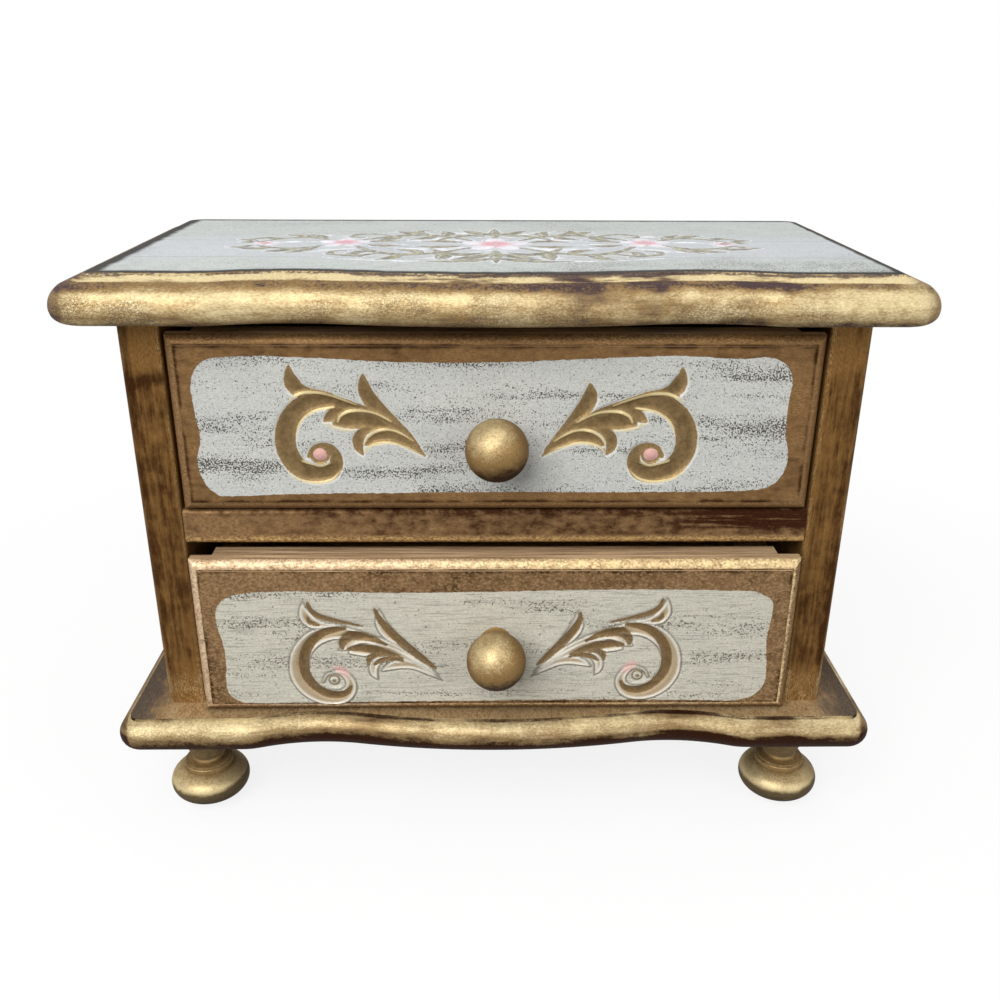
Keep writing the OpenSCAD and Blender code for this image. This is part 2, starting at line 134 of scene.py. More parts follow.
def curve_through(points, per_span=10, closed=False):
    """Smooth curve through points of any number of columns."""
    p = np.array(points, float)
    if closed:
        p = np.vstack([p[-1], p, p[:2]])
    else:
        p = np.vstack([2 * p[0] - p[1], p, 2 * p[-1] - p[-2]])
    t = np.linspace(0, 1, per_span, endpoint=False)[:, None]
    spans = []
    for a, b, c, d in zip(p[:-3], p[1:-2], p[2:-1], p[3:]):
        spans.append(b + 0.5 * t * (c - a + t * (2 * a - 5 * b + 4 * c - d + t * (3 * (b - c) + d - a))))
    if not closed:
        spans.append(p[-2][None])
    return np.vstack(spans)


LEAST_HALF_WIDTH = 0.12
DEEPEST_CUT = 1.15
STROKE_REACH = 3.0
OUTLINE_REACH = 8.0


def inside_strokes(x, z, strokes, wall=0.0):
    """Distance inside the nearest stroke in millimetres, and the scooped depth of a cut along it."""
    inside = np.full(x.shape, -STROKE_REACH)
    depth = np.zeros(x.shape)
    for stroke in strokes:
        path = curve_through(stroke)
        half = np.maximum(path[:, 2], LEAST_HALF_WIDTH)
        margin = half.max() + STROKE_REACH
        near = np.nonzero((x > path[:, 0].min() - margin) & (x < path[:, 0].max() + margin)
                          & (z > path[:, 1].min() - margin) & (z < path[:, 1].max() + margin))[0]
        if not len(near):
            continue
        away = np.hypot(x[near, None] - path[None, :, 0], z[near, None] - path[None, :, 1])
        best = np.argmax(half[None] - away, axis=1)
        gap = away[np.arange(len(near)), best]
        width = half[best]
        inside[near] = np.maximum(inside[near], width - gap)
        scoop = np.minimum(DEEPEST_CUT, 0.15 + 0.42 * width) * np.clip(1 - (gap / (width + wall)) ** 2, 0, 1)
        depth[near] = np.maximum(depth[near], scoop)
    return inside, depth


def inside_outline(x, z, points):
    """Signed distance inside a smooth closed outline."""
    ring = curve_through(points, 8, closed=True)
    after = np.roll(ring, -1, axis=0)
    best = np.full(x.shape, 1e9)
    odd = np.zeros(x.shape, bool)
    for (ax, az), (bx, bz) in zip(ring, after):
        ex, ez = bx - ax, bz - az
        t = np.clip(((x - ax) * ex + (z - az) * ez) / (ex * ex + ez * ez + 1e-9), 0, 1)
        best = np.minimum(best, np.hypot(x - ax - t * ex, z - az - t * ez))
        if az != bz:
            odd ^= ((az > z) != (bz > z)) & (x < ax + (z - az) * ex / ez)
    return np.clip(np.where(odd, best, -best), -OUTLINE_REACH, OUTLINE_REACH)


def spaced(*spans):
    """Grid lines over spans of start, end and step."""
    lines = []
    for start, end, step in spans:
        count = max(1, round((end - start) / step))
        lines.append(np.linspace(start, end, count, endpoint=False))
    lines.append(np.array([spans[-1][1]]))
    return np.concatenate(lines)


def grid_faces(columns, rows):
    """Corners of the quads of a grid whose points are stored column by column."""
    corner = np.arange(columns - 1)[:, None] * rows + np.arange(rows - 1)[None]
    return np.stack([corner, corner + rows, corner + rows + 1, corner + 1], -1).reshape(-1, 4)


# Meshes

def add_object(name, data):
    """Object of any kind at the origin of the scene."""
    made = bpy.data.objects.new(name, data)
    bpy.context.scene.collection.objects.link(made)
    return made


def new_mesh(name, points_mm, edges, faces, fields):
    """Mesh from points in millimetres, with named values per point."""
    mesh = bpy.data.meshes.new(name)
    mesh.from_pydata((np.asarray(points_mm) / MM_PER_M).tolist(), edges, faces)
    for key, values in (fields or {}).items():
        attribute = mesh.attributes.new(key, "FLOAT", "POINT")
        attribute.data.foreach_set("value", np.asarray(values, np.float32))
    return mesh


def new_piece(name, points_mm, faces, material, fields=None, smooth=True):
    """Object with its place in its mesh."""
    mesh = new_mesh(name, points_mm, [], faces, fields)
    mesh.materials.append(material)
    mesh.polygons.foreach_set("use_smooth", [smooth] * len(mesh.polygons))
    return add_object(name, mesh)


def edge_object(name, points_mm, closed, fields=None):
    """Chain of edges, as a path or a section for the sweep."""
    n = len(points_mm)
    edges = [(i, (i + 1) % n) for i in range(n if closed else n - 1)]
    return add_object(name, new_mesh(name, points_mm, edges, [], fields))


def close_and_turn_out(mesh, merge=0.0):
    """Fills open loops, merges doubles and turns every face outwards."""
    bm = bmesh.new()
    bm.from_mesh(mesh)
    if merge:
        bmesh.ops.remove_doubles(bm, verts=bm.verts, dist=merge)
    edges = [e for e in bm.edges if e.is_boundary]
    if edges:
        bmesh.ops.holes_fill(bm, edges=edges, sides=0)
    bmesh.ops.recalc_face_normals(bm, faces=bm.faces)
    bm.to_mesh(mesh)
    bm.free()


def finish_board(mesh):
    """Closes a board's mesh, keeps its flat fills flat and marks its real edges sharp."""
    count = len(mesh.polygons)
    close_and_turn_out(mesh, 0.00001)
    mesh.polygons.foreach_set("use_smooth", [p.index < count and len(p.vertices) <= 8 for p in mesh.polygons])
    mesh.set_sharp_from_angle(angle=math.radians(20))


def place(piece, body, slot, *nodes):
    """Rides a piece on its body and hides the CAD nodes that it stands for; the slot is not used."""
    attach(piece, body)
    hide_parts(*nodes)


# Node trees

class Field:
    """Output of a node, which adds and multiplies like a number."""

    def __init__(self, socket):
        self.socket = socket
        self.tree = socket.id_data

    def calc(self, operation, other=0.0, clamp=False):
        """Result of a sum with a number or another output."""
        return field(self.tree, "ShaderNodeMath", {0: self, 1: other}, operation=operation, use_clamp=clamp)

    def __add__(self, other):
        return self.calc("ADD", other)

    def __sub__(self, other):
        return self.calc("SUBTRACT", other)

    def __mul__(self, other):
        return self.calc("MULTIPLY", other)

    def __neg__(self):
        return self.calc("MULTIPLY", -1.0)

    def __abs__(self):
        return self.calc("ABSOLUTE")


def put(tree, kind, values=None, **settings):
    """Adds a node, sets its properties and sets or links its inputs."""
    made = tree.nodes.new(kind)
    for key, value in settings.items():
        setattr(made, key, value)
    for key, value in (values or {}).items():
        if isinstance(value, Field):
            value = value.socket
        if isinstance(value, bpy.types.NodeSocket):
            tree.links.new(value, made.inputs[key])
        else:
            made.inputs[key].default_value = value
    return made


def field(tree, kind, values=None, output=0, **settings):
    """One output of a new node."""
    return Field(put(tree, kind, values, **settings).outputs[output])


def emptied(owner):
    """Node tree of a material or a world, with nothing in it."""
    owner.use_nodes = True
    owner.node_tree.nodes.clear()
    return owner.node_tree


# Moulding swept round a path

def sweep_tree():
    """Geometry nodes that carry a section round a level path and close what meets."""
    tree = bpy.data.node_groups.new("carry_section_round_path", "GeometryNodeTree")
    for key, kind in (("Path", "Geometry"), ("Section", "Object"), ("Merge distance", "Float"),
                      ("Finish", "Material")):
        tree.interface.new_socket(key, in_out="INPUT", socket_type="NodeSocket" + kind)
    tree.interface.new_socket("Moulding", in_out="OUTPUT", socket_type="NodeSocketGeometry")
    given = put(tree, "NodeGroupInput").outputs
    section = field(tree, "GeometryNodeObjectInfo", {"Object": given["Section"]}, "Geometry")
    path = field(tree, "GeometryNodeMeshToCurve", {"Mesh": given["Path"]})
    level = field(tree, "GeometryNodeSetCurveNormal", {"Curve": path}, mode="Z_UP")
    profile = field(tree, "GeometryNodeMeshToCurve", {"Mesh": section})
    carried = field(tree, "GeometryNodeCurveToMesh", {"Curve": level, "Profile Curve": profile})
    merged = field(tree, "GeometryNodeMergeByDistance", {
        "Geometry": carried, "Distance": given["Merge distance"]})
    smooth = field(tree, "GeometryNodeSetShadeSmooth", {"Geometry": merged})
    real = field(tree, "GeometryNodeRealizeInstances", {"Geometry": smooth})
    finished = field(tree, "GeometryNodeSetMaterial", {"Geometry": real, "Material": given["Finish"]})
    put(tree, "NodeGroupOutput", {"Moulding": finished})
    return tree


SWEEP = sweep_tree()
SWEEP_MERGE = 0.00002


def swept(name, path_mm, section_mm, finish, fields):
    """Plain mesh of a section (outwards, up) carried round a closed level path."""
    path = edge_object(name + "_path", path_mm, True)
    flat = np.column_stack([section_mm[:, 0], -section_mm[:, 1], np.zeros(len(section_mm))])
    section = edge_object(name + "_section", flat, False, fields)
    modifier = path.modifiers.new("sweep", "NODES")
    modifier.node_group = SWEEP
    sockets = {i.name: i.identifier for i in SWEEP.interface.items_tree if i.in_out == "INPUT"}
    modifier[sockets["Section"]] = section
    modifier[sockets["Merge distance"]] = SWEEP_MERGE
    modifier[sockets["Finish"]] = finish
    graph = bpy.context.evaluated_depsgraph_get()
    mesh = bpy.data.meshes.new_from_object(path.evaluated_get(graph))
    path.modifiers.remove(modifier)
    for chain in (path, section):
        old = chain.data
        bpy.data.objects.remove(chain)
        bpy.data.meshes.remove(old)
    mesh.name = name
    return mesh


# Shader parts

def mask(value, low, high):
    """0 up to low, 1 from high on, smooth between."""
    return field(value.tree, "ShaderNodeMapRange", {0: value, 1: low, 2: high},
                 interpolation_type="SMOOTHSTEP")


def spread(value, low, high):
    """Value from 0 to 1 laid between two limits."""
    return field(value.tree, "ShaderNodeMapRange", {0: value, 3: low, 4: high})


def opposite(value):
    """1 where the value is 0, and 0 where it is 1."""
    return spread(value, 1.0, 0.0)


def fade(value, low, high, strength=1.0):
    """This strength up to low, 0 from high on."""
    return spread(mask(value, low, high), strength, 0.0)


def larger(a, b):
    """The larger of two values."""
    return a.calc("MAXIMUM", b)


def swing(value, amount):
    """Noise turned into a swing of this size to both sides of zero."""
    return (value - 0.5) * amount


def blend(amount, a, b, mode="MIX"):
    """Second colour laid over the first."""
    tree = next(v.tree for v in (amount, a, b) if isinstance(v, Field))
    return field(tree, "ShaderNodeMix", {0: amount, 6: a, 7: b}, 2, data_type="RGBA", blend_type=mode)


def mix_value(amount, a, b):
    """Value between two others."""
    return field(amount.tree, "ShaderNodeMix", {0: amount, 2: a, 3: b}, data_type="FLOAT")


def noise(place_mm, scale, detail):
    """Noise from 0 to 1."""
    return field(place_mm.tree, "ShaderNodeTexNoise", {
        "Vector": place_mm, "Scale": scale, "Detail": detail, "Roughness": 0.6}, "Fac")


def grain(place_mm, size, detail=2.0):
    """Noise with features of about this size in millimetres."""
    return noise(place_mm, 1 / size, detail)


def drawn_out(place_mm, x, y, z):
    """Place drawn out along the brush strokes: larger numbers give longer marks that way."""
    return field(place_mm.tree, "ShaderNodeVectorMath", {0: place_mm, 1: (1 / x, 1 / y, 1 / z)},
                 operation="MULTIPLY")


def stretched(place_mm, x, y, z):
    """Noise with features of about these sizes in millimetres."""
    return noise(drawn_out(place_mm, x, y, z), 1.0, 4.0)


def axes_of(vector):
    """The three parts of a vector."""
    return [Field(part) for part in put(vector.tree, "ShaderNodeSeparateXYZ", {0: vector}).outputs]


def facing(tree):
    """Which way the surface faces, as three parts."""
    return axes_of(field(tree, "ShaderNodeNewGeometry", output="Normal"))


def value_of(tree, name):
    """Value that the mesh carries under this name."""
    return field(tree, "ShaderNodeAttribute", output="Fac", attribute_name=name)


# Effects that materials share

def start_group(name, inputs, outputs):
    """New group with inputs of name, kind and value, and outputs of name and kind."""
    tree = bpy.data.node_groups.new(name, "ShaderNodeTree")
    tree.interface.new_socket("Place", in_out="INPUT", socket_type="NodeSocketVector")
    for key, kind, value in inputs:
        made = tree.interface.new_socket(key, in_out="INPUT", socket_type="NodeSocket" + kind)
        if value is not None:
            made.default_value = value
    for key, kind in outputs:
        tree.interface.new_socket(key, in_out="OUTPUT", socket_type="NodeSocket" + kind)
    return tree, {socket.name: Field(socket) for socket in put(tree, "NodeGroupInput").outputs}


SURFACE = [("Color", "Color"), ("Roughness", "Float"), ("Height", "Float")]


def gilding_group():
    """Aged gold paint: brown gold, dark glaze in the low places, bright metal where it is rubbed."""
    tree, given = start_group("aged_gilding", [
        ("Brushed", "Vector", None), ("Glaze", "Float", 0.3), ("Rub", "Float", 0.3),
        ("Mottle", "Float", 1.0), ("Grit", "Float", 1.0),
        ("Gold", "Color", GOLD), ("Rubbed", "Color", RUBBED_GOLD), ("Umber", "Color", UMBER),
    ], SURFACE + [("Metallic", "Float")])
    fine = grain(given["Brushed"], 0.42)
    streak = grain(given["Brushed"], 1.7, 4.0)
    middle = grain(given["Place"], 4.0, 5.0)
    grit = swing(fine, 1.0) * given["Grit"]
    mottle = (swing(streak, 1.3) + swing(middle, 1.0)) * given["Mottle"]
    dark = mask(given["Glaze"] + mottle + grit, 0.15, 0.9)
    flaked = mask(given["Rub"] + mottle * 0.7 + grit, 0.1, 0.95)
    bright = flaked * spread(dark, 1.0, 0.15)
    shade = blend(dark, given["Gold"], given["Umber"])
    shade = blend(bright, shade, given["Rubbed"])
    grainy = blend(mask(fine, 0.28, 0.72), (0.5, 0.45, 0.38, 1), (1.3, 1.28, 1.22, 1))
    shade = blend(spread(bright, 0.8, 0.4) * given["Grit"], shade, grainy, "MULTIPLY")
    put(tree, "NodeGroupOutput", {
        "Color": shade, "Roughness": spread(dark, 0.43, 0.62) + fine * 0.1,
        "Metallic": spread(dark, 0.45, 0.12), "Height": fine * 0.5 + middle * 0.3 + streak * 0.5})
    return tree


def paint_group():
    """Distressed pale paint with dark specks that gather in bands along the board."""
    tree, given = start_group("speckled_paint", [
        ("Paint", "Color", COOL_CREAM), ("Speck", "Color", SPECK),
        ("Speckle", "Float", 0.5), ("Streaking", "Float", 0.3)], SURFACE)
    place_mm = given["Place"]
    bands = mask(stretched(place_mm, 55, 50, 7.0), 0.44, 0.68)
    dots = grain(place_mm, 0.52, 1.5)
    specks = mask(dots + bands * 0.19 + given["Speckle"] * 0.11, 0.67, 0.82)
    pits = mask(grain(place_mm, 1.1, 1.0), 0.68, 0.74)
    lines = stretched(place_mm, 7, 2.2, 0.36)
    weave = stretched(place_mm, 0.75, 0.5, 0.3)
    cloud = grain(place_mm, 16.0, 3.0)
    streaks = mask(lines, 0.48, 0.7) * given["Streaking"]
    worn = blend(0.55, given["Paint"], given["Speck"])
    shade = blend(streaks, given["Paint"], worn)
    clouded = blend(cloud, (0.8, 0.82, 0.84, 1), (1.1, 1.08, 1.05, 1))
    shade = blend(0.6, shade, clouded, "MULTIPLY")
    dabs = blend(mask(weave, 0.3, 0.7), (0.76, 0.75, 0.71, 1), (1.1, 1.1, 1.1, 1))
    shade = blend(0.8, shade, dabs, "MULTIPLY")
    shade = blend(specks * 0.9, shade, given["Speck"])
    shade = blend(pits * 0.6, shade, given["Speck"])
    put(tree, "NodeGroupOutput", {
        "Color": shade, "Roughness": specks * 0.2 + 0.5 + dots * 0.1,
        "Height": specks * -0.8 + lines * 0.5 + pits * -0.6 + weave * 0.4})
    return tree


def wood_group():
    """Plain wood with long growth lines and short pores along X of the place."""
    tree, given = start_group("wood_grain", [("Light", "Color", BARE), ("Dark", "Color", BARE_DARK)], SURFACE)
    lines = stretched(given["Place"], 120, 3.2, 3.2)
    pores = stretched(given["Place"], 9, 0.5, 0.5)
    shade = blend(mask(lines, 0.35, 0.7), given["Light"], given["Dark"])
    shade = blend(mask(pores, 0.55, 0.75) * 0.5, shade, given["Dark"])
    put(tree, "NodeGroupOutput", {
        "Color": shade, "Roughness": spread(pores, 0.55, 0.75), "Height": lines * 0.4 + pores * 0.6})
    return tree


GILDING = gilding_group()
PAINT = paint_group()
WOOD = wood_group()


def use(group, place_mm, **values):
    """Outputs of a shared effect, laid at this place with its own values."""
    made = put(place_mm.tree, "ShaderNodeGroup", {"Place": place_mm, **values}, node_tree=group)
    return {socket.name: Field(socket) for socket in made.outputs}


# Materials

BUMP_DISTANCE = 0.0003


def start_material(name):
    """New material with its shader, and the place on the object in millimetres."""
    material = bpy.data.materials.new(name)
    tree = emptied(material)
    shader = put(tree, "ShaderNodeBsdfPrincipled", {"Specular IOR Level": 0.3})
    put(tree, "ShaderNodeOutputMaterial", {"Surface": shader.outputs[0]})
    where = field(tree, "ShaderNodeTexCoord", output="Object")
    place_mm = field(tree, "ShaderNodeVectorMath", {0: where, "Scale": MM_PER_M}, operation="SCALE")
    return material, tree, shader, place_mm


def dress(shader, shade, roughness, height, strength, metallic=None):
    """Links the finished values to the shader, with the height as bump."""
    tree = shade.tree
    tree.links.new(shade.socket, shader.inputs["Base Color"])
    tree.links.new(roughness.socket, shader.inputs["Roughness"])
    if metallic is not None:
        tree.links.new(metallic.socket, shader.inputs["Metallic"])
        shader.inputs["Specular Tint"].default_value = EDGE_TINT
    bump = put(tree, "ShaderNodeBump", {"Strength": strength, "Distance": BUMP_DISTANCE, "Height": height})
    tree.links.new(bump.outputs[0], shader.inputs["Normal"])


def moulding_cracks(tree, place_mm):
    """Network of fine cracks, in patches and where the mesh says that the gilding flakes."""
    bend = field(tree, "ShaderNodeTexNoise", {"Vector": place_mm, "Scale": 0.7, "Detail": 3.0}, "Color")
    bent = field(tree, "ShaderNodeVectorMath", {0: bend, 1: (2.4, 2.4, 2.4), 2: place_mm},
                 operation="MULTIPLY_ADD")
    cells = field(tree, "ShaderNodeTexVoronoi", {"Vector": bent, "Scale": 0.9}, "Distance",
                  feature="DISTANCE_TO_EDGE")
    patches = mask(grain(place_mm, 22.0, 2.0), 0.4, 0.62)
    worn = patches.calc("MULTIPLY", value_of(tree, "flake") + 0.35, clamp=True)
    return fade(cells, 0.0, 0.2) * worn


def moulding_gilding(name, wave_length, gold, umber, side_glaze, middle_glaze, speckle):
    """Gilding of the moulded boards: glaze, rub and flaking come with the section and drift along it."""
    material, tree, shader, place_mm = start_material(name)
    x = axes_of(place_mm)[0]
    # The section's glaze and rub hold painted shade under the noses and on the lower bead, and painted
    # highlights on their upper parts, besides the gilding's own glaze and rubbing.
    glaze = value_of(tree, "glaze")
    right_wear = mask(x, 10.0, 70.0)
    side_run = mask(abs(facing(tree)[0]), 0.3, 0.5)
    middle_run = mask(abs(x), 110.0, 20.0)
    waves = swing(grain(place_mm, wave_length, 3.0), 1.0) * spread(right_wear, 2.0, 4.0)
    strokes = swing(stretched(place_mm, 26.0, 26.0, 2.4), 1.3)
    drift = waves + strokes + right_wear * -0.12 + side_run * side_glaze + middle_run * middle_glaze
    scuffs = value_of(tree, "scuff") * (swing(stretched(place_mm, 18.0, 18.0, 1.2), 3.2) + 0.2)
    dots = swing(grain(drawn_out(place_mm, 1.6, 1.6, 1.0), 0.6, 1.0), speckle)
    speckles = mask(glaze, 0.1, 0.4) * (dots + right_wear * 0.3)
    gilt = use(GILDING, place_mm, Brushed=drawn_out(place_mm, 2.2, 2.2, 1.0), Mottle=0.55, Grit=0.5,
               Glaze=glaze + drift + scuffs + speckles,
               Rub=value_of(tree, "rub") + drift * -0.6 + scuffs * -0.8,
               Gold=gold, Rubbed=MOULDING_RUBBED, Umber=umber)
    cracks = moulding_cracks(tree, place_mm)
    shade = blend(cracks * 0.4, gilt["Color"], umber)
    dress(shader, shade, gilt["Roughness"], gilt["Height"] * 0.6 + cracks * -1.3, 0.55, gilt["Metallic"])
    return material


def base_top_gilding():
    """Level top of the base: worn gold in front of the drawers, dark brushed glaze beside the sides."""
    material, _, shader, place_mm = start_material("base_top_gilding")
    out = abs(axes_of(place_mm)[0])
    beside = mask(out, 110.0, 117.0) * 0.45 + mask(out, 116.0, 126.0) * 0.55
    patches = swing(grain(place_mm, 14.0, 3.0), 0.9)
    gilt = use(GILDING, place_mm, Brushed=drawn_out(place_mm, 0.9, 3.0, 1.0), Grit=0.8,
               Glaze=spread(beside, 0.15, 1.0) + patches, Rub=spread(beside, 0.5, 0.15),
               Gold=LEVEL_GOLD, Umber=LEVEL_GLAZE, Rubbed=LEVEL_RUBBED)
    dress(shader, gilt["Color"], gilt["Roughness"], gilt["Height"], 0.5, gilt["Metallic"])
    return material


def turned_gilding():
    """Gilding of the feet and the knobs, smoother than that of the boards."""
    material, tree, shader, place_mm = start_material("turned_gilding")
    # The glaze and rub values on the feet and knobs hold painted shade and painted highlights.
    gilt = use(GILDING, place_mm, Brushed=drawn_out(place_mm, 1.2, 1.2, 1.0), Mottle=0.5, Grit=0.5,
               Glaze=value_of(tree, "glaze"), Rub=value_of(tree, "rub"),
               Gold=TURNED_GOLD, Rubbed=TURNED_RUBBED, Umber=TURNED_UMBER)
    dress(shader, gilt["Color"], gilt["Roughness"] - 0.04, gilt["Height"], 0.3, gilt["Metallic"])
    return material


def post_gilding():
    """Gilding of the side boards, with streaks that run up the boards and paler edges in front."""
    material, tree, shader, place_mm = start_material("post_gilding")
    low, high = node_box("right_side")
    board_x = float(low[0] + high[0]) / 2
    x, _, z = axes_of(place_mm)
    front = mask(-facing(tree)[1], 0.3, 0.9)
    edge = mask(abs(abs(x) - board_x), 4.0, 6.5)
    patches = swing(grain(place_mm, 20.0, 3.0), 0.8) + swing(stretched(place_mm, 1.1, 1.1, 16.0), 0.9)
    foot_end = fade(z, 52.0, 66.0, 0.5)
    head_end = mask(z, 158.0, 170.0) * 0.42
    sag = z - 177.0 + x * -0.12 + swing(grain(place_mm, 6.0), 4.0)
    smear = fade(abs(sag), 0.3, 4.5, 0.45) * mask(x, 0.0, -1.0)
    streaky = mask(stretched(place_mm, 3.0, 3.0, 40.0), 0.35, 0.65)
    rim = mask(abs(x), 110.0, 114.5) * spread(streaky, 0.15, 0.5)
    rub = mix_value(front, 0.0, edge * 0.3 + foot_end * 0.5)
    glaze = mix_value(front, 0.32, spread(edge, 0.5, 0.25)) + patches + (smear + rim) * front
    gilt = use(GILDING, place_mm, Brushed=drawn_out(place_mm, 0.75, 0.75, 2.6), Mottle=0.6, Grit=0.9,
               Glaze=glaze + (foot_end + head_end) * -0.8, Rub=rub, Gold=POST_GOLD, Umber=POST_UMBER)
    dress(shader, gilt["Color"], gilt["Roughness"], gilt["Height"], 0.45, gilt["Metallic"])
    return material


def divider_gilding():
    """Gilding of the divider: a dark broken smear at its right, a paler lower edge."""
    material, tree, shader, place_mm = start_material("divider_gilding")
    low, high = node_box("drawer_divider")
    bottom, top = float(low[2]), float(high[2])
    middle = (bottom + top) / 2
    x, _, z = axes_of(place_mm)
    patches = swing(grain(place_mm, 26.0, 3.0), 0.6)
    dragged = mask(stretched(place_mm, 24.0, 24.0, 1.1), 0.32, 0.62)
    smear = mask(x, 50.0, 80.0) * mask(z, middle - 1.5, middle + 0.8) * dragged
    left_end = mask(x, -40.0, -95.0)
    upper_edge = mask(z, top - 3.0, top - 1.0)
    lower_edge = mask(z, bottom + 3.8, bottom + 1.4)
    glaze = patches + 0.48 + smear * 0.9 + upper_edge * 0.22 + lower_edge * -0.5 + left_end * -0.25
    gilt = use(GILDING, place_mm, Brushed=drawn_out(place_mm, 2.6, 2.6, 1.5), Mottle=0.9,
               Glaze=glaze, Rub=lower_edge * 0.4,
               Gold=DIVIDER_GOLD, Umber=DIVIDER_UMBER, Rubbed=DIVIDER_RUBBED)
    dress(shader, gilt["Color"], gilt["Roughness"], gilt["Height"], 0.45, gilt["Metallic"])
    return material


def front_frame(tree, place_mm, gold, edge_rub, rimmed):
    """Gilding of a drawer front's frame, its colour, and where its level top is rubbed bare."""
    from_edge = value_of(tree, "from_edge") + swing(grain(place_mm, 5.0, 3.0), 0.6)
    round_edge = fade(from_edge, 2.6, 3.1)
    crease = fade(abs(from_edge - 3.3), 0.0, 1.2)
    patches = swing(grain(place_mm, 24.0, 3.0), 0.8)
    # A darker broken line along the crease between the rounded edge and the field.
    dark_crease_line = crease * mask(grain(place_mm, 9.0, 3.0), 0.3, 0.6)
    lines = mask(stretched(place_mm, 30.0, 0.9, 30.0), 0.35, 0.65)
    to_right, _, upwards = facing(tree)
    level_top = mask(upwards, 0.95, 0.99)
    # The rounded edge is rubbed pale only where it faces up or to the left, a painted highlight, and stays
    # darker where it faces right or down, painted shade.
    shaded_sides = mask(to_right, 0.2, 0.5) * 0.75 + mask(-upwards, 0.2, 0.5) * 0.75
    worn_and_lit_edge = round_edge.calc("SUBTRACT", shaded_sides + level_top, clamp=True)
    rubbed = blend(mask(axes_of(place_mm)[0], -70.0, 40.0), RUBBED_LEFT, RUBBED_RIGHT)
    gilt = use(GILDING, place_mm, Brushed=drawn_out(place_mm, 2.0, 2.0, 1.7 if rimmed else 0.9),
               Mottle=0.95 if rimmed else 0.6,
               Glaze=patches + 0.3 + dark_crease_line * 0.45 + worn_and_lit_edge * (-0.1 - 0.4 * edge_rub),
               Rub=worn_and_lit_edge * edge_rub, Gold=gold, Rubbed=rubbed, Umber=FRONT_UMBER)
    bare = level_top * spread(lines, 0.9, 0.25)
    shade = blend(bare, gilt["Color"], BARE_EDGE)
    if rimmed:
        dabs = mask(grain(drawn_out(place_mm, 1.5, 1.5, 1.2), 0.7, 1.5), 0.5, 0.62)
        shade = blend(dabs * 0.4, shade, FRAME_DABS)
    return gilt, shade, bare


def wide_scroll(shade, in_scroll, in_band, from_eye):
    """Ground of the upper scrolls, with a pale line round them, and where their gold lies."""
    shade = blend(mask(in_scroll, -1.0, -0.45) * 0.6, shade, SCROLL_HALO)
    return shade, larger(mask(in_band, -0.35, 0.0), fade(from_eye, 3.0, 3.4))


def rimmed_scroll(shade, place_mm, in_scroll, in_band, from_eye):
    """Ground of the lower scrolls, with a dark outline and pale rims, and where their narrow gold lies."""
    rim = blend(mask(in_scroll, 0.9, 1.9), RIM_PALE, RIM_TAN)
    grainy = blend(grain(place_mm, 0.5), (0.8, 0.78, 0.75, 1), (1.15, 1.15, 1.15, 1))
    rim = blend(0.8, rim, grainy, "MULTIPLY")
    shade = blend(fade(abs(in_scroll - 0.1), 0.1, 0.55, 0.55), shade, SCROLL_OUTLINE)
    shade = blend(mask(in_scroll, 0.3, 0.8) * 0.85, shade, rim)
    ring = fade(abs(from_eye - 1.75), 0.15, 0.45, 0.8)
    eye = fade(from_eye, 0.5, 0.85, 0.8)
    return shade, larger(mask(in_band, -0.35, 0.05) * 0.95, larger(ring, eye))


def front_finish(name, gold, paint, speck, speckle, streaking, edge_rub, rimmed):
    """Gilded frame, painted panel and carved scrolls of a drawer front."""
    material, tree, shader, place_mm = start_material(name)
    gilt, frame_shade, bare = front_frame(tree, place_mm, gold, edge_rub, rimmed)
    cream = use(PAINT, place_mm, Paint=paint, Speck=speck, Speckle=speckle, Streaking=streaking)
    wobble = swing(grain(place_mm, 2.5), 0.8)
    panel = mask(value_of(tree, "in_panel") + wobble, -0.12, 0.12)
    shade = blend(panel, frame_shade, cream["Color"])
    ragged = swing(grain(place_mm, 1.0), 0.5)
    in_scroll = value_of(tree, "in_scroll") + ragged
    in_band = value_of(tree, "in_band") + ragged
    from_eye = value_of(tree, "from_eye")
    if rimmed:
        shade, fill = rimmed_scroll(shade, place_mm, in_scroll, in_band, from_eye)
    else:
        shade, fill = wide_scroll(shade, in_scroll, in_band, from_eye)
    scroll = use(GILDING, place_mm, Brushed=place_mm, Mottle=0.9 if rimmed else 0.55,
                 Glaze=spread(value_of(tree, "cut"), 0.05, 0.5), Rub=0.12,
                 Gold=RIMMED_SCROLL_GOLD if rimmed else WIDE_SCROLL_GOLD,
                 Umber=RIMMED_SCROLL_UMBER if rimmed else WIDE_SCROLL_UMBER)
    shade = blend(fill, shade, scroll["Color"])
    if not rimmed:
        # Pale gold on the carved ridges: rubbed crests, and a painted highlight along them.
        shade = blend(mask(value_of(tree, "in_ridge"), -0.25, 0.15) * 0.85, shade, RIDGE_RUB_AND_HIGHLIGHT)
    pink = mask(value_of(tree, "in_pink") + ragged, -0.2, 0.25) * (0.6 if rimmed else 0.85)
    shade = blend(pink, shade, EYE_PINK)
    painted = panel * opposite(fill * opposite(pink))
    metallic = mix_value(larger(painted, bare), gilt["Metallic"], 0.0)
    roughness = mix_value(painted, gilt["Roughness"], cream["Roughness"])
    dress(shader, shade, roughness, mix_value(painted, gilt["Height"], cream["Height"]), 0.45, metallic)
    return material


PLANK_JOINTS_Y = (11.6, -24.0)


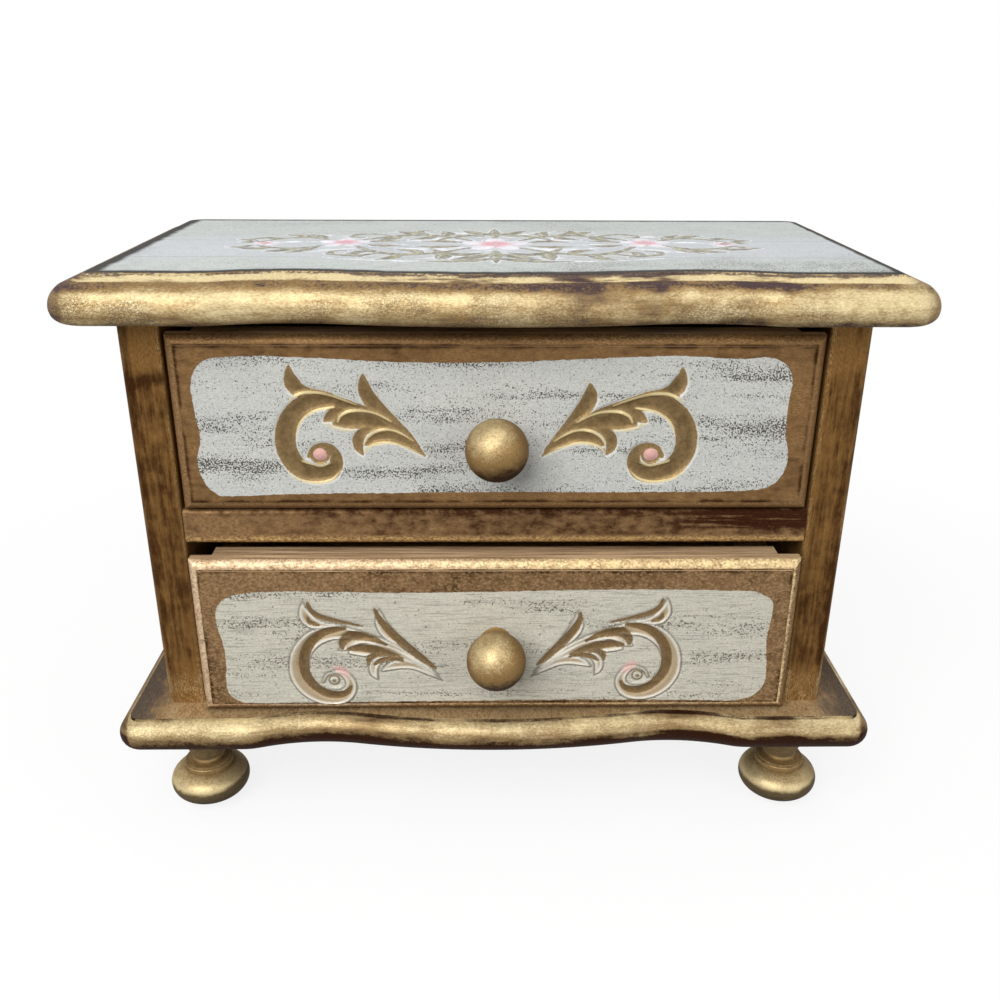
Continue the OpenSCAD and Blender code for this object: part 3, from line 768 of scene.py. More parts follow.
def top_finish():
    """Painted face of the top: pale paint, a dark line round it and the garland."""
    material, tree, shader, place_mm = start_material("top_paint")
    y = axes_of(place_mm)[1]
    near_front = mask(-y, 22.0, 52.0)
    cream = use(PAINT, place_mm, Paint=TOP_PAINT, Speck=TOP_SPECK, Speckle=spread(near_front, -0.35, 0.5),
                Streaking=0.25)
    garland_way = abs(y + 3.0 + swing(grain(place_mm, 25.0), 20.0))
    shade = blend(fade(garland_way, 10.0, 32.0, 0.32), cream["Color"], GARLAND_GROUND)
    for joint_y in PLANK_JOINTS_Y:
        off = abs(y - joint_y + swing(grain(place_mm, 20.0), 0.5))
        shade = blend(fade(off, 0.1, 0.5, 0.4), shade, SPECK)
    uneven = swing(grain(place_mm, 1.8, 4.0), 2.2)
    patchy = mask(grain(place_mm, 5.0, 4.0), 0.35, 0.6)
    core = mask(value_of(tree, "in_core") + uneven * 0.3, 0.1, 0.75)
    leaf = blend(mask(grain(place_mm, 3.0, 3.0), 0.35, 0.65), LEAF_DARK, LEAF_LIGHT)
    for name, tint, strength in (("in_light", GARLAND_LIGHT, patchy * 0.85), ("in_leaf", leaf, 0.85),
                                 ("in_rose", PETAL, 0.65), ("in_rose", ROSE, core * 0.85),
                                 ("in_vein", VEIN, 0.6)):
        area = mask(value_of(tree, name) + uneven, -0.3, 0.6)
        shade = blend(area * strength, shade, tint)
    for name, strength in (("in_leaf", 0.75), ("in_rose", 0.45)):
        off = abs(value_of(tree, name) + uneven * 0.5)
        shade = blend(fade(off, 0.15, 0.5, strength) * patchy, shade, DRAWN_LINE)
    from_edge = value_of(tree, "from_edge") + swing(grain(place_mm, 9.0, 4.0), 4.0)
    line = fade(from_edge, 3.0, 6.4, 0.95)
    shade = blend(line, shade, TOP_LINE)
    dress(shader, shade, mix_value(line, cream["Roughness"], 0.95), cream["Height"], 0.45)
    return material


def plain_wood(name, light, dark, turn):
    """Wood with its grain along X, or along Y where it is turned."""
    material, tree, shader, place_mm = start_material(name)
    turned_place = field(tree, "ShaderNodeMapping", {"Vector": place_mm, "Rotation": (0.0, 0.0, turn)})
    wood = use(WOOD, turned_place, Light=light, Dark=dark)
    dress(shader, wood["Color"], wood["Roughness"], wood["Height"], 0.35)
    return material


def felt_finish():
    """Dark red felt with a fuzzy face."""
    material, _, shader, place_mm = start_material("drawer_felt")
    fuzz = grain(place_mm, 0.35, 4.0)
    cloud = grain(place_mm, 12.0, 3.0)
    shade = blend(mask(fuzz, 0.3, 0.7), FELT, FELT_LIGHT)
    shade = blend(cloud * 0.4, shade, FELT_SHADE)
    shader.inputs["Sheen Weight"].default_value = 0.5
    dress(shader, shade, spread(fuzz, 0.85, 1.0), fuzz + cloud, 0.8)
    return material


def steel_finish():
    """Dull steel of the screws and the brads."""
    material, _, shader, place_mm = start_material("fastener_steel")
    scratch = stretched(place_mm, 0.3, 2.5, 0.3)
    dull = grain(place_mm, 1.2, 3.0)
    shade = blend(mask(dull, 0.4, 0.75), STEEL, STEEL_DULL)
    shader.inputs["Metallic"].default_value = 0.9
    dress(shader, shade, spread(dull, 0.3, 0.5), scratch, 0.2)
    return material


TOP_GILDING = moulding_gilding("top_moulding_gilding", 30.0, TOP_GOLD, TOP_UMBER, 0.4, 0.04, 1.4)
BASE_GILDING = moulding_gilding("base_moulding_gilding", 36.0, BASE_GOLD, BASE_UMBER, 0.7, 0.0, 0.6)
BASE_TOP = base_top_gilding()
TURNED = turned_gilding()
POSTS = post_gilding()
DIVIDER = divider_gilding()
TOP_PAINTED = top_finish()
UPPER_FRONT = front_finish("upper_front_finish", UPPER_GOLD, COOL_CREAM, SPECK, 0.6, 0.15, 0.12, False)
LOWER_FRONT = front_finish("lower_front_finish", LOWER_GOLD, WARM_CREAM, LOWER_SPECK, 0.0, 0.8, 0.7, True)
BARE_ACROSS = plain_wood("bare_wood_across", BARE, BARE_DARK, 0.0)
BARE_ALONG = plain_wood("bare_wood_along", BARE, BARE_DARK, math.pi / 2)
STAINED = plain_wood("stained_back", STAIN, STAIN_DARK, 0.0)
FELTED = felt_finish()
STEELED = steel_finish()

# Sizes of the boards in millimetres, as the solids have them
HOLLOW_X = 60.0
HOLLOW_DEPTH = 4.2
SHOULDER_X = 88.0
SHOULDER_R = 24.0
BOW_OUT = 1.0
BACK_CORNER_R = 16.0
LEAST_CORNER_R = 1.0
BEVEL_H = 2.1
BEVEL_W = 4.2
LIP_R = 4.2
BASE_STEP_H = 1.0
BASE_STEP_D = 4.4
BASE_CORNER_R = 8.0
MIDDLE_Y = (node_box("base_board")[0][1] + BOW_OUT + node_box("base_board")[1][1]) / 2


def arc(centre_x, centre_y, r, start, end, steps):
    """Points on a round arc between two angles in degrees."""
    a = np.radians(np.linspace(start, end, steps + 1))
    return np.column_stack([centre_x + r * np.cos(a), centre_y + r * np.sin(a)])


def front_edge(half_d, inset):
    """Right half of the serpentine front, set back from the nose: from the middle to the shoulder."""
    hollow_r = ((SHOULDER_X - HOLLOW_X) ** 2 + HOLLOW_DEPTH ** 2) / (2 * HOLLOW_DEPTH) - SHOULDER_R
    bow_depth = HOLLOW_DEPTH + BOW_OUT
    bow_r = (HOLLOW_X ** 2 + bow_depth ** 2) / (2 * bow_depth) - hollow_r
    shoulder_a = math.degrees(math.asin((SHOULDER_X - HOLLOW_X) / (SHOULDER_R + hollow_r)))
    bow_a = math.degrees(math.asin(HOLLOW_X / (bow_r + hollow_r)))
    bow = arc(0, bow_r - BOW_OUT - half_d, bow_r - inset, 270, 270 + bow_a, 24)
    hollow = arc(HOLLOW_X, HOLLOW_DEPTH - hollow_r - half_d, hollow_r + inset,
                 90 + bow_a, 90 - shoulder_a, 24)
    shoulder = arc(SHOULDER_X, SHOULDER_R - half_d, SHOULDER_R - inset, 270 - shoulder_a, 270, 10)
    return np.vstack([bow, hollow[1:], shoulder[1:]])


def half_edge(half_w, half_d, inset, front_r, back_r):
    """Front and back of a board's right half at an inset, each running outwards to the straight side."""
    front = np.vstack([
        front_edge(half_d, inset),
        arc(half_w - inset - front_r, inset + front_r - half_d, front_r, 270, 360, 8)])
    back = np.vstack([
        [[0.0, half_d - inset]],
        arc(half_w - inset - back_r, half_d - inset - back_r, back_r, 90, 0, 12)])
    return front, back


def board_size(name):
    """Half width, half depth without the bow, thickness and top height of a board."""
    low, high = node_box(name)
    return (high[0] - low[0]) / 2, (high[1] - low[1] - BOW_OUT) / 2, high[2] - low[2], high[2]


# Garland of the top face: strokes of x, y and half width about its middle, right half
GARLAND_STEMS = [
    [(9, 7, .7), (17, 15, 1.1), (28, 18, 1.3), (38, 14, 1.2), (46, 8, .7)],
    [(9, -8, .7), (19, -17, 1.1), (31, -20, 1.3), (41, -14, 1.2), (47, -5, .7)],
    [(58, 7, .6), (66, 12, 1.0), (75, 10, .9), (82, 3, .5)],
    [(58, -3, .6), (66, -9, 1.0), (75, -8, .9), (82, -3, .5)],
    [(36, 15, .6), (43, 20, 1.0), (50, 19, 1.0), (51, 14, .8), (47, 13, .5)],
    [(37, -17, .6), (45, -22, 1.0), (53, -20, 1.0), (54, -15, .8), (50, -13, .5)],
    [(0, 13, .8), (0, 22, 1.5), (0, 33, .2)],
    [(0, -14, .8), (0, -22, 1.5), (0, -34, .2)],
]
GARLAND_LEAVES = [
    [(1, 18, .5), (6, 22, 2.0), (12, 29, .2)],
    [(1, -19, .5), (7, -24, 2.0), (14, -29, .2)],
    [(18, 16, .5), (17, 21, 1.9), (19, 27, .2)],
    [(28, 18, .5), (31, 22, 1.9), (36, 27, .2)],
    [(22, 17, .5), (24, 12, 1.7), (30, 9, .2)],
    [(34, 16, .5), (36, 11, 1.6), (41, 8, .2)],
    [(19, -17, .5), (17, -23, 1.9), (18, -29, .2)],
    [(31, -20, .5), (33, -25, 1.9), (38, -29, .2)],
    [(24, -19, .5), (27, -14, 1.7), (33, -11, .2)],
    [(66, 12, .5), (69, 16, 1.7), (75, 18, .2)],
    [(66, -9, .5), (70, -13, 1.7), (76, -15, .2)],
    [(75, 10, .5), (80, 11, 1.5), (87, 9, .2)],
    [(75, -8, .5), (80, -10, 1.5), (88, -8, .2)],
    [(79, 1, .5), (84, 3, 1.4), (88, 2, .2)],
    [(12, 3, .5), (18, 5, 1.6), (26, 4, .2)],
    [(12, -4, .5), (19, -6, 1.6), (27, -5, .2)],
    [(60, 8, .5), (62, 14, 1.6), (67, 20, .2)],
    [(60, -6, .5), (63, -12, 1.5), (69, -18, .2)],
    [(43, 4, .5), (38, 6, 1.5), (33, 5, .2)],
    [(43, -2, .5), (38, -4, 1.5), (32, -3, .2)],
    [(4, 16, .4), (10, 17, 1.4), (16, 13, 1.2), (20, 7, .3)],
    [(4, -17, .4), (11, -20, 1.6), (18, -16, 1.3), (22, -9, .3)],
    [(0, -26, .6), (7, -30, 1.5), (16, -32, 1.0), (24, -31, .2)],
    [(24, 20, .4), (28, 24, 1.5), (27, 28, .9), (23, 28, .3)],
    [(42, -13, .4), (46, -17, 1.5), (47, -22, .9), (43, -24, .3)],
    [(82, 3, .5), (86, 7, 1.2), (90, 8, .2)],
    [(82, -3, .5), (86, -7, 1.2), (90, -7, .2)],
]
GARLAND_PALE = [
    [(6, 5, 1.0), (14, 9, 2.6), (24, 9, 2.8), (34, 4, .4)],
    [(6, -5, 1.0), (15, -10, 2.6), (26, -11, 2.8), (36, -7, .4)],
    [(2, 12, .8), (9, 18, 2.2), (14, 23, 1.8), (22, 25, .4)],
    [(2, -12, .8), (10, -20, 2.4), (17, -25, 1.8), (26, -27, .4)],
    [(45, 10, .8), (56, 16, 2.0), (64, 18, .4)],
    [(46, -8, .8), (58, -13, 2.0), (67, -15, .4)],
    [(60, 3, .6), (68, 4, 1.8), (77, 2, .4)],
    [(10, -25, .5), (26, -31, 1.3), (46, -28, 1.1), (64, -21, .3)],
    [(28, -1, .4), (37, -2, 1.5), (45, -7, .3)],
    [(20, 22, .3), (30, 24, 1.2), (42, 23, .3)],
]
GARLAND_FLOWERS = [(0, -1, 1.0), (52, 2, .78), (79, 0, .42)]
GARLAND_Y = -3.0
GARLAND_STRETCH = 1.13
GARLAND_HEIGHT = 0.3


def flower_strokes(x, y, size):
    """Petals and their light strokes round a flower's middle."""
    petals = []
    lights = []
    for k in range(5):
        a = math.radians(90 + 72 * k)
        for run, shapes, turn in (
                (((2.2, 1.4), (5.5, 3.6), (8.5, 3.7), (10.8, 1.6)), petals, 0.0),
                (((4.0, .3), (6.5, .75), (9.5, .3)), lights, 0.28)):
            shapes.append([(x + size * r * math.cos(a + turn), y + size * r * math.sin(a + turn), size * w)
                           for r, w in run])
    return petals, lights


def both_halves(strokes):
    """Strokes with their mirror images."""
    return strokes + [[(-x, y, w) for x, y, w in stroke] for stroke in strokes]


def garland_fields(gx, gy):
    """Where the garland's leaves, petals and lights lie on the top's face, and how high they stand."""
    vine = [[(x, y, 1.3 * w) for x, y, w in stroke] for stroke in both_halves(GARLAND_STEMS + GARLAND_LEAVES)]
    flowers = GARLAND_FLOWERS + [(-x, y, size) for x, y, size in GARLAND_FLOWERS[1:]]
    petals, veins = [], []
    for x, y, size in flowers:
        more_petals, more_veins = flower_strokes(x, y, size)
        petals += more_petals
        veins += more_veins
    veins += [[(x - .9, y + .9, .4) for x, y, _ in stroke] for stroke in vine]
    halo = [[(x, y, w + 0.9) for x, y, w in stroke] for stroke in vine + petals] + both_halves(GARLAND_PALE)
    at_y = (gy - MIDDLE_Y - GARLAND_Y) / GARLAND_STRETCH
    leaf, leaf_cut = inside_strokes(gx, at_y, vine)
    rose, rose_cut = inside_strokes(gx, at_y, petals)
    vein, vein_cut = inside_strokes(gx, at_y, veins)
    light = inside_strokes(gx, at_y, halo)[0]
    core = np.zeros(gx.shape)
    for x, y, size in flowers:
        core = np.maximum(core, 1 - np.hypot(gx - x, at_y - y) / (9 * size))
    raised = GARLAND_HEIGHT * np.clip(np.maximum(leaf_cut, 0.7 * rose_cut) + 0.3 * vein_cut, 0, 0.9)
    return {"in_leaf": leaf, "in_rose": rose, "in_vein": vein, "in_light": light, "in_core": core}, raised


# Top, base, feet and knobs

def top_section(thick):
    """Edge of the top from its underside to its face, inwards and up, with its finish at each point."""
    nose_r = thick - BEVEL_H - LIP_R
    nose = arc(nose_r, LIP_R, nose_r, 180, 95, 14)
    crease_d, crease_h = nose[-1]
    bevel = np.column_stack([np.linspace(crease_d, crease_d + BEVEL_W, 7), np.linspace(crease_h, thick, 7)])
    section = np.vstack([arc(LIP_R, LIP_R, LIP_R, 270, 180, 9), nose[1:], bevel[1:]])
    level = section[:, 1]
    up_bevel = np.clip((section[:, 0] - crease_d) / BEVEL_W, 0, 1)
    on_bevel = (up_bevel > 0) * 1.0
    below_crease = np.clip((level - 9.2) / 2.2, 0, 1) * (1 - on_bevel)
    shade_underneath = np.clip(1 - level / 4.0, 0, 1)
    by_the_face = np.clip(2.4 * up_bevel - 1.2, 0, 1)
    # The glaze rises towards the underside of the nose as painted shade, and the rub rises a little with
    # height as a faint painted highlight.
    return section, {
        "glaze": 0.38 * shade_underneath + 0.44 * below_crease - 0.1 * on_bevel + by_the_face,
        "rub": 0.36 + 0.02 * level - 0.6 * below_crease + 0.3 * on_bevel,
        "flake": np.clip(1.2 - level / 8, 0, 1),
        "scuff": on_bevel}


CORNER_FROM_X = 117.0
GARLAND_END_X = 96.0
TOP_FINE, TOP_COARSE = 0.68, 2.0
LEAST_COLUMN = 0.03


def top_columns(half_w, half_d, inset):
    """Grid lines across the top's face, and the place of its front and its back edge on each."""
    front, back = half_edge(half_w, half_d, inset, LEAST_CORNER_R, BACK_CORNER_R - inset)
    corner_x = np.concatenate([front[front[:, 0] > CORNER_FROM_X, 0], back[1:, 0]])
    run = spaced((0, GARLAND_END_X, TOP_FINE), (GARLAND_END_X, back[1, 0], TOP_COARSE))
    columns = np.unique(np.concatenate([run, corner_x]).round(3))
    columns = columns[np.append(np.diff(columns) > LEAST_COLUMN, True)]
    columns[-1] = half_w - inset
    grid_x = np.concatenate([-columns[:0:-1], columns])
    front_y = MIDDLE_Y + np.interp(np.abs(grid_x), front[:, 0], front[:, 1])
    back_y = MIDDLE_Y + np.interp(np.abs(grid_x), back[:, 0], back[:, 1])
    return grid_x, front_y, back_y


def outlined(grid_x, front_y, back_y, side_ys):
    """Closed level loop, anticlockwise from above."""
    right = np.column_stack([np.full(len(side_ys), grid_x[-1]), side_ys])
    left = np.column_stack([np.full(len(side_ys), grid_x[0]), side_ys[::-1]])
    return np.vstack([
        np.column_stack([grid_x, front_y]), right[1:-1],
        np.column_stack([grid_x[::-1], back_y[::-1]]), left[1:-1]])


def carried_round(name, loop, section, thick, height, finish, fields):
    """Section of a board, inwards and up, carried round a loop at the board's top height."""
    path = np.column_stack([loop, np.full(len(loop), height)])
    outwards = np.column_stack([section[-1, 0] - section[:, 0], section[:, 1] - thick])
    return swept(name, path, outwards, finish, fields)


def build_top():
    """Moulded top: a painted face with a raised garland inside the swept edge."""
    half_w, half_d, thick, height = board_size("top_board")
    section, edge_fields = top_section(thick)
    inset = section[-1, 0]
    grid_x, front_y, back_y = top_columns(half_w, half_d, inset)
    share = spaced((0, .036, .006), (.036, .15, .016), (.15, .85, .006), (.85, .964, .016), (.964, 1, .006))
    gx = np.repeat(grid_x, len(share))
    gy = (front_y[:, None] + (back_y - front_y)[:, None] * share[None]).ravel()
    fields, raised = garland_fields(gx, gy)
    from_side = np.where(gx < 0, 1.2, 2.4) * (half_w - inset - np.abs(gx))
    from_front = 1.25 * (gy - np.repeat(front_y, len(share)))
    from_back = 1.6 * (np.repeat(back_y, len(share)) - gy)
    fields["from_edge"] = np.minimum(from_side, np.minimum(from_front, from_back))
    face = new_piece("top_face", np.column_stack([gx, gy, height + raised]),
                     grid_faces(len(grid_x), len(share)).tolist(), TOP_PAINTED, fields)
    loop = outlined(grid_x, front_y, back_y, front_y[-1] + (back_y[-1] - front_y[-1]) * share)
    ring = carried_round("top_moulding", loop, section, thick, height, TOP_GILDING, edge_fields)
    board = add_object("moulded_top", ring)
    with bpy.context.temp_override(active_object=board, object=board,
                                   selected_editable_objects=[board, face]):
        bpy.ops.object.join()
    finish_board(board.data)
    place(board, "carcass", "gilded_wood", "top_board")


def build_base():
    """Moulded base: a bead with a small step behind it, carried round the same serpentine outline."""
    half_w, half_d, thick, height = board_size("base_board")
    bead_r = (thick - BASE_STEP_H) / 2
    end = 180 - math.degrees(math.acos(1 - BASE_STEP_D / bead_r))
    section = np.vstack([
        arc(bead_r, bead_r, bead_r, 270, 180, 10),
        arc(bead_r, bead_r, bead_r, 180, end, 10)[1:],
        [[BASE_STEP_D, thick]]])
    level = section[:, 1]
    shaded_step = np.arange(len(section)) >= len(section) - 2
    # The glaze darkens the lower half of the bead and the step behind it as painted shade; the rub lightens
    # the top of the bead as a painted highlight.
    fields = {
        "glaze": np.clip(2.0 - level / 4.1, -0.05, 1.3) + 0.6 * shaded_step,
        "rub": np.clip((level - 5.5) / 4.0, 0, 1) * 0.5,
        "flake": 0 * level,
        "scuff": 0 * level}
    corners = (BASE_CORNER_R - BASE_STEP_D, BACK_CORNER_R - BASE_STEP_D)
    front, back = half_edge(half_w, half_d, BASE_STEP_D, *corners)
    half = np.vstack([front, back[::-1]])
    loop = np.vstack([half, (half * [-1, 1])[::-1][1:-1]]) + [0, MIDDLE_Y]
    ring = carried_round("base_moulding", loop, section, thick, height, BASE_GILDING, fields)
    ring.materials.append(BASE_TOP)
    board = add_object("moulded_base", ring)
    finish_board(ring)
    for face in ring.polygons:
        if len(face.vertices) > 8 and face.normal.z > 0.9:
            face.material_index = 1
    place(board, "carcass", "gilded_wood", "base_board")


def turned(name, profile, fields):
    """Solid of revolution about Z from a profile of radius and height."""
    core = 0.5
    circle = arc(0, 0, core, 0, 360, 72)[:-1]
    path = np.column_stack([circle, np.zeros(len(circle))])
    mesh = swept(name, path, np.column_stack([profile[:, 0] - core, profile[:, 1]]), TURNED, fields)
    close_and_turn_out(mesh, SWEEP_MERGE)
    mesh.polygons.foreach_set("use_smooth", [True] * len(mesh.polygons))
    mesh.set_sharp_from_angle(angle=math.radians(32))
    return mesh


def bump_at(level, middle, width):
    """1 at the middle, falling off smoothly over the width."""
    return np.exp(-((level - middle) / width) ** 2)


def within_one(value):
    """Value held between 0 and 1."""
    return min(1.0, max(0.0, value))


BUN_R = 14.2


def foot_profile():
    """Radius and height of a turned foot, from the floor to its top under the base."""
    bun_h, rim_r, flat, foot_h = 16.6, 5.2, 0.6, 34.0
    collar_r, collar_h, ledge, bead_h = 8.8, 1.9, 0.8, 0.8
    neck_r, cove_h, pad_r, pad_h = 5.5, 1.8, 12.5, 4.0
    crown_r = ((BUN_R - rim_r) ** 2 + (bun_h / 2) ** 2 - rim_r ** 2) / (bun_h - 2 * rim_r)
    rim_a = math.degrees(math.atan2(crown_r - bun_h / 2, BUN_R - rim_r))
    flat_a = math.degrees(math.asin((crown_r - flat) / crown_r))
    collar_a = math.degrees(math.acos(collar_r / crown_r))
    crown_z = bun_h - flat - crown_r
    collar_z = crown_z + crown_r * math.sin(math.radians(collar_a)) + collar_h
    bead_r = collar_r - ledge
    cove_a = np.radians(np.linspace(0, 90, 10))
    cove = [bead_r - (bead_r - neck_r) * np.sin(cove_a), collar_z + bead_h + cove_h * (1 - np.cos(cove_a))]
    return np.vstack([
        [[0, 0]],
        arc(0, crown_r - flat, crown_r, -flat_a, -rim_a, 14),
        arc(BUN_R - rim_r, bun_h / 2 - flat, rim_r, -rim_a, rim_a, 16)[1:],
        arc(0, crown_z, crown_r, rim_a, collar_a, 10)[1:],
        [[collar_r, collar_z - 0.3], [collar_r - 0.3, collar_z], [bead_r, collar_z]],
        np.column_stack(cove),
        arc(pad_r - pad_h / 2, foot_h - pad_h / 2, pad_h / 2, -90, 90, 12),
        [[0, foot_h]]])


def build_feet():
    """Four turned feet, darker in the quirks, with painted shade under the bun, on the neck and on the right
    side, and a painted highlight round the bun's bulge.
    """
    profile = foot_profile()
    level = profile[:, 1]
    quirk = bump_at(level, 14.6, 0.8) + bump_at(level, 17.2, 0.5)
    # Painted shade under the bun and on the neck below the base; the rub's bump round the bun's bulge is a
    # painted highlight.
    underside = np.clip((10.5 - level) / 3.5, 0, 1)
    neck = np.clip(level - 17.5, 0, 1)
    fields = {"glaze": 0.35 * quirk + 1.4 * underside + 0.55 * neck,
              "rub": 0.4 + 0.5 * bump_at(level, 8.5, 3.2) - 0.4 * quirk}
    for name in ("front_left_foot", "front_right_foot", "rear_left_foot", "rear_right_foot"):
        low, high = node_box(name)
        mesh = turned("turned_" + name, profile, fields)
        # Painted shade on each foot's right side, away from the key lamp.
        painted_shade = mesh.attributes["glaze"].data
        for vertex in mesh.vertices:
            to_right = vertex.co.x * MM_PER_M / BUN_R
            painted_shade[vertex.index].value += 0.9 * within_one(to_right - 0.25)
        axis_x, axis_y = (low[:2] + high[:2]) / 2
        mesh.transform(Matrix.Translation(np.array([axis_x, axis_y, low[2]]) / MM_PER_M))
        place(add_object("turned_" + name, mesh), "carcass", "gilded_wood", name)


def knob_profile(ball_d, neck_l):
    """Radius and height of a knob from its seat to the top of its ball, and the height of its middle."""
    neck_d, seat_d = 8.6, 11.0
    centre = neck_l + math.sqrt(ball_d ** 2 - neck_d ** 2) / 2
    begin = math.degrees(math.asin((neck_l - centre) / (ball_d / 2)))
    neck = np.linspace(0, 1, 7)
    profile = np.vstack([
        [[0, 0]],
        np.column_stack([seat_d / 2 + (neck_d - seat_d) / 2 * np.sqrt(neck), neck_l * neck]),
        arc(0, centre, ball_d / 2, begin, 90, 40)[1:]])
    profile[-1, 0] = 0
    return profile, centre


def build_knob(drawer):
    """Ball knob with a short flared neck, turned to face the front."""
    low, high = node_box(drawer + "_knob")
    ball_d, neck_l = 19.4, 3.6
    profile, centre = knob_profile(ball_d, neck_l)
    level = profile[:, 1]
    # The glaze is also raised round the neck, where it meets the ball.
    mesh = turned(drawer + "_ball_knob", profile, {
        "glaze": 0.7 * bump_at(level, neck_l, 1.2), "rub": np.zeros(len(level))})
    seat = np.array([(low[0] + high[0]) / 2, high[1], (low[2] + high[2]) / 2])
    mesh.transform(Matrix.Translation(seat / MM_PER_M) @ Matrix.Rotation(math.pi / 2, 4, "X"))
    # Painted shade darkens each ball towards its bottom and its right; a painted highlight lightens its upper
    # left front.
    painted_shade = mesh.attributes["glaze"].data
    painted_highlight = mesh.attributes["rub"].data
    ball = seat - [0, centre, 0]
    for vertex in mesh.vertices:
        x, y, z = (np.array(vertex.co) * MM_PER_M - ball) * 2 / ball_d
        painted_shade[vertex.index].value += within_one(0.08 - 1.2 * z + 0.2 * x)
        painted_highlight[vertex.index].value = 0.05 + 0.5 * within_one((-0.3 * x - 0.5 * y + 0.85 * z - 0.4) / 0.5)
    place(add_object(drawer + "_ball_knob", mesh), drawer + "_drawer", "gilded_wood", drawer + "_knob")


# Carved scroll about its eye: gouge cuts of x, z and half width, leaf tips towards +x
SCROLL = [
    [(-3.4, -.6, .5), (-2.2, 1.9, .7), (.4, 2.9, .9), (3.2, 2.0, 1.3), (5.0, -.6, 1.7), (5.0, -3.6, 2.1),
     (3.0, -6.0, 2.6),
     (-.6, -6.7, 2.8), (-4.6, -5.6, 2.9), (-8.0, -2.9, 3.0), (-10.2, 1.0, 3.1), (-10.9, 5.2, 3.1),
     (-10.3, 9.4, 3.1),
     (-8.4, 13.2, 3.0), (-5.3, 16.1, 2.9), (-1.4, 17.5, 2.6), (2.6, 17.4, 2.4), (6.6, 16.4, 2.1),
     (11.0, 15.0, 1.8),
     (15.5, 13.3, 1.6), (20.0, 11.0, 1.4), (24.4, 8.1, 1.2), (28.6, 4.4, .9), (33.0, -.3, .2)],
    [(-9.7, 28.8, .2), (-9.6, 26.2, 1.2), (-8.7, 23.4, 2.2), (-6.8, 21.2, 2.1), (-3.6, 20.4, 1.3),
     (.2, 20.3, .7),
     (3.6, 19.8, .2)],
    [(12.9, 26.0, .2), (13.1, 23.4, 1.3), (13.9, 20.4, 2.0), (16.0, 17.2, 2.2), (19.3, 14.2, 1.6),
     (23.0, 11.0, 1.1),
     (27.0, 7.2, .8), (31.0, 2.6, .4)],
    [(1.3, 11.3, .3), (3.2, 12.6, 1.5), (5.2, 14.2, 1.6), (8.0, 14.8, 1.3), (12.0, 14.2, .8)],
    [(4.8, 10.4, .8), (7.8, 11.0, 2.0), (11.4, 11.4, 2.7), (15.5, 11.0, 2.4), (19.5, 9.3, 1.8),
     (23.5, 7.0, 1.2),
     (27.5, 4.4, .6)],
    [(13.4, .3, .3), (12.1, 2.6, 1.3), (12.0, 5.4, 1.6), (13.8, 7.8, 1.3), (17.2, 9.2, .9),
     (21.0, 9.0, .6)],
    [(14.6, 3.6, .5), (17.2, 5.2, 1.5), (20.8, 6.1, 1.9), (24.6, 5.3, 1.6), (28.6, 2.9, 1.1),
     (32.6, 0, .2)],
]
RIGHT_LEAF = [(17.8, 23.6, .2), (17.6, 21.4, 1.3), (18.0, 18.8, 2.1), (19.6, 15.8, 2.2),
              (22.4, 12.6, 1.6), (25.6, 9.2, 1.0),
              (29.0, 5.2, .6), (32.0, 1.6, .3)]
RIGHT_SCROLL = SCROLL[:2] + [RIGHT_LEAF] + SCROLL[3:]
# Sharp ridges left standing between and beside the cuts
RIDGES = [
    [(-9.8, 17.6, .2), (-7.8, 19.3, .35), (-4.8, 20.3, .4), (-1.0, 20.3, .4), (3.0, 19.4, .35),
     (7.0, 18.0, .3),
     (11.0, 16.4, .15)],
    [(5.4, 10.9, .2), (6.3, 12.8, .35), (9.0, 14.3, .4), (13.2, 14.4, .35), (16.9, 13.6, .3),
     (19.9, 12.2, .25),
     (22.0, 10.9, .15)],
    [(13.8, 3.7, .2), (14.7, 5.6, .35), (16.9, 7.5, .4), (19.9, 8.3, .35), (22.9, 8.0, .3),
     (25.9, 6.7, .25),
     (29.2, 4.6, .15)],
    [(-5.4, -2.2, .35), (-2.4, -3.1, .3), (.6, -3.7, .35), (3.3, -2.8, .15)],
    [(1.5, 10.6, .15), (4.2, 9.2, .3), (7.8, 8.3, .3), (11.1, 8.3, .15)],
    [(14.1, .6, .2), (15.4, 2.5, .35), (18.1, 3.7, .35), (21.7, 4.0, .3), (25.3, 3.1, .25), (28.9, 1.7, .2),
     (32.5, -.4, .15)],
    [(-7.3, 6.2, .1), (-6.8, 9.3, .25), (-5.0, 12.1, .3), (-1.8, 14.4, .3), (1.5, 15.2, .3),
     (4.2, 15.6, .15)],
    [(-10.8, -5.0, .1), (-7.8, -7.6, .25), (-4.2, -9.0, .3), (0, -9.4, .35), (3.9, -8.3, .3),
     (6.5, -5.6, .1)],
]
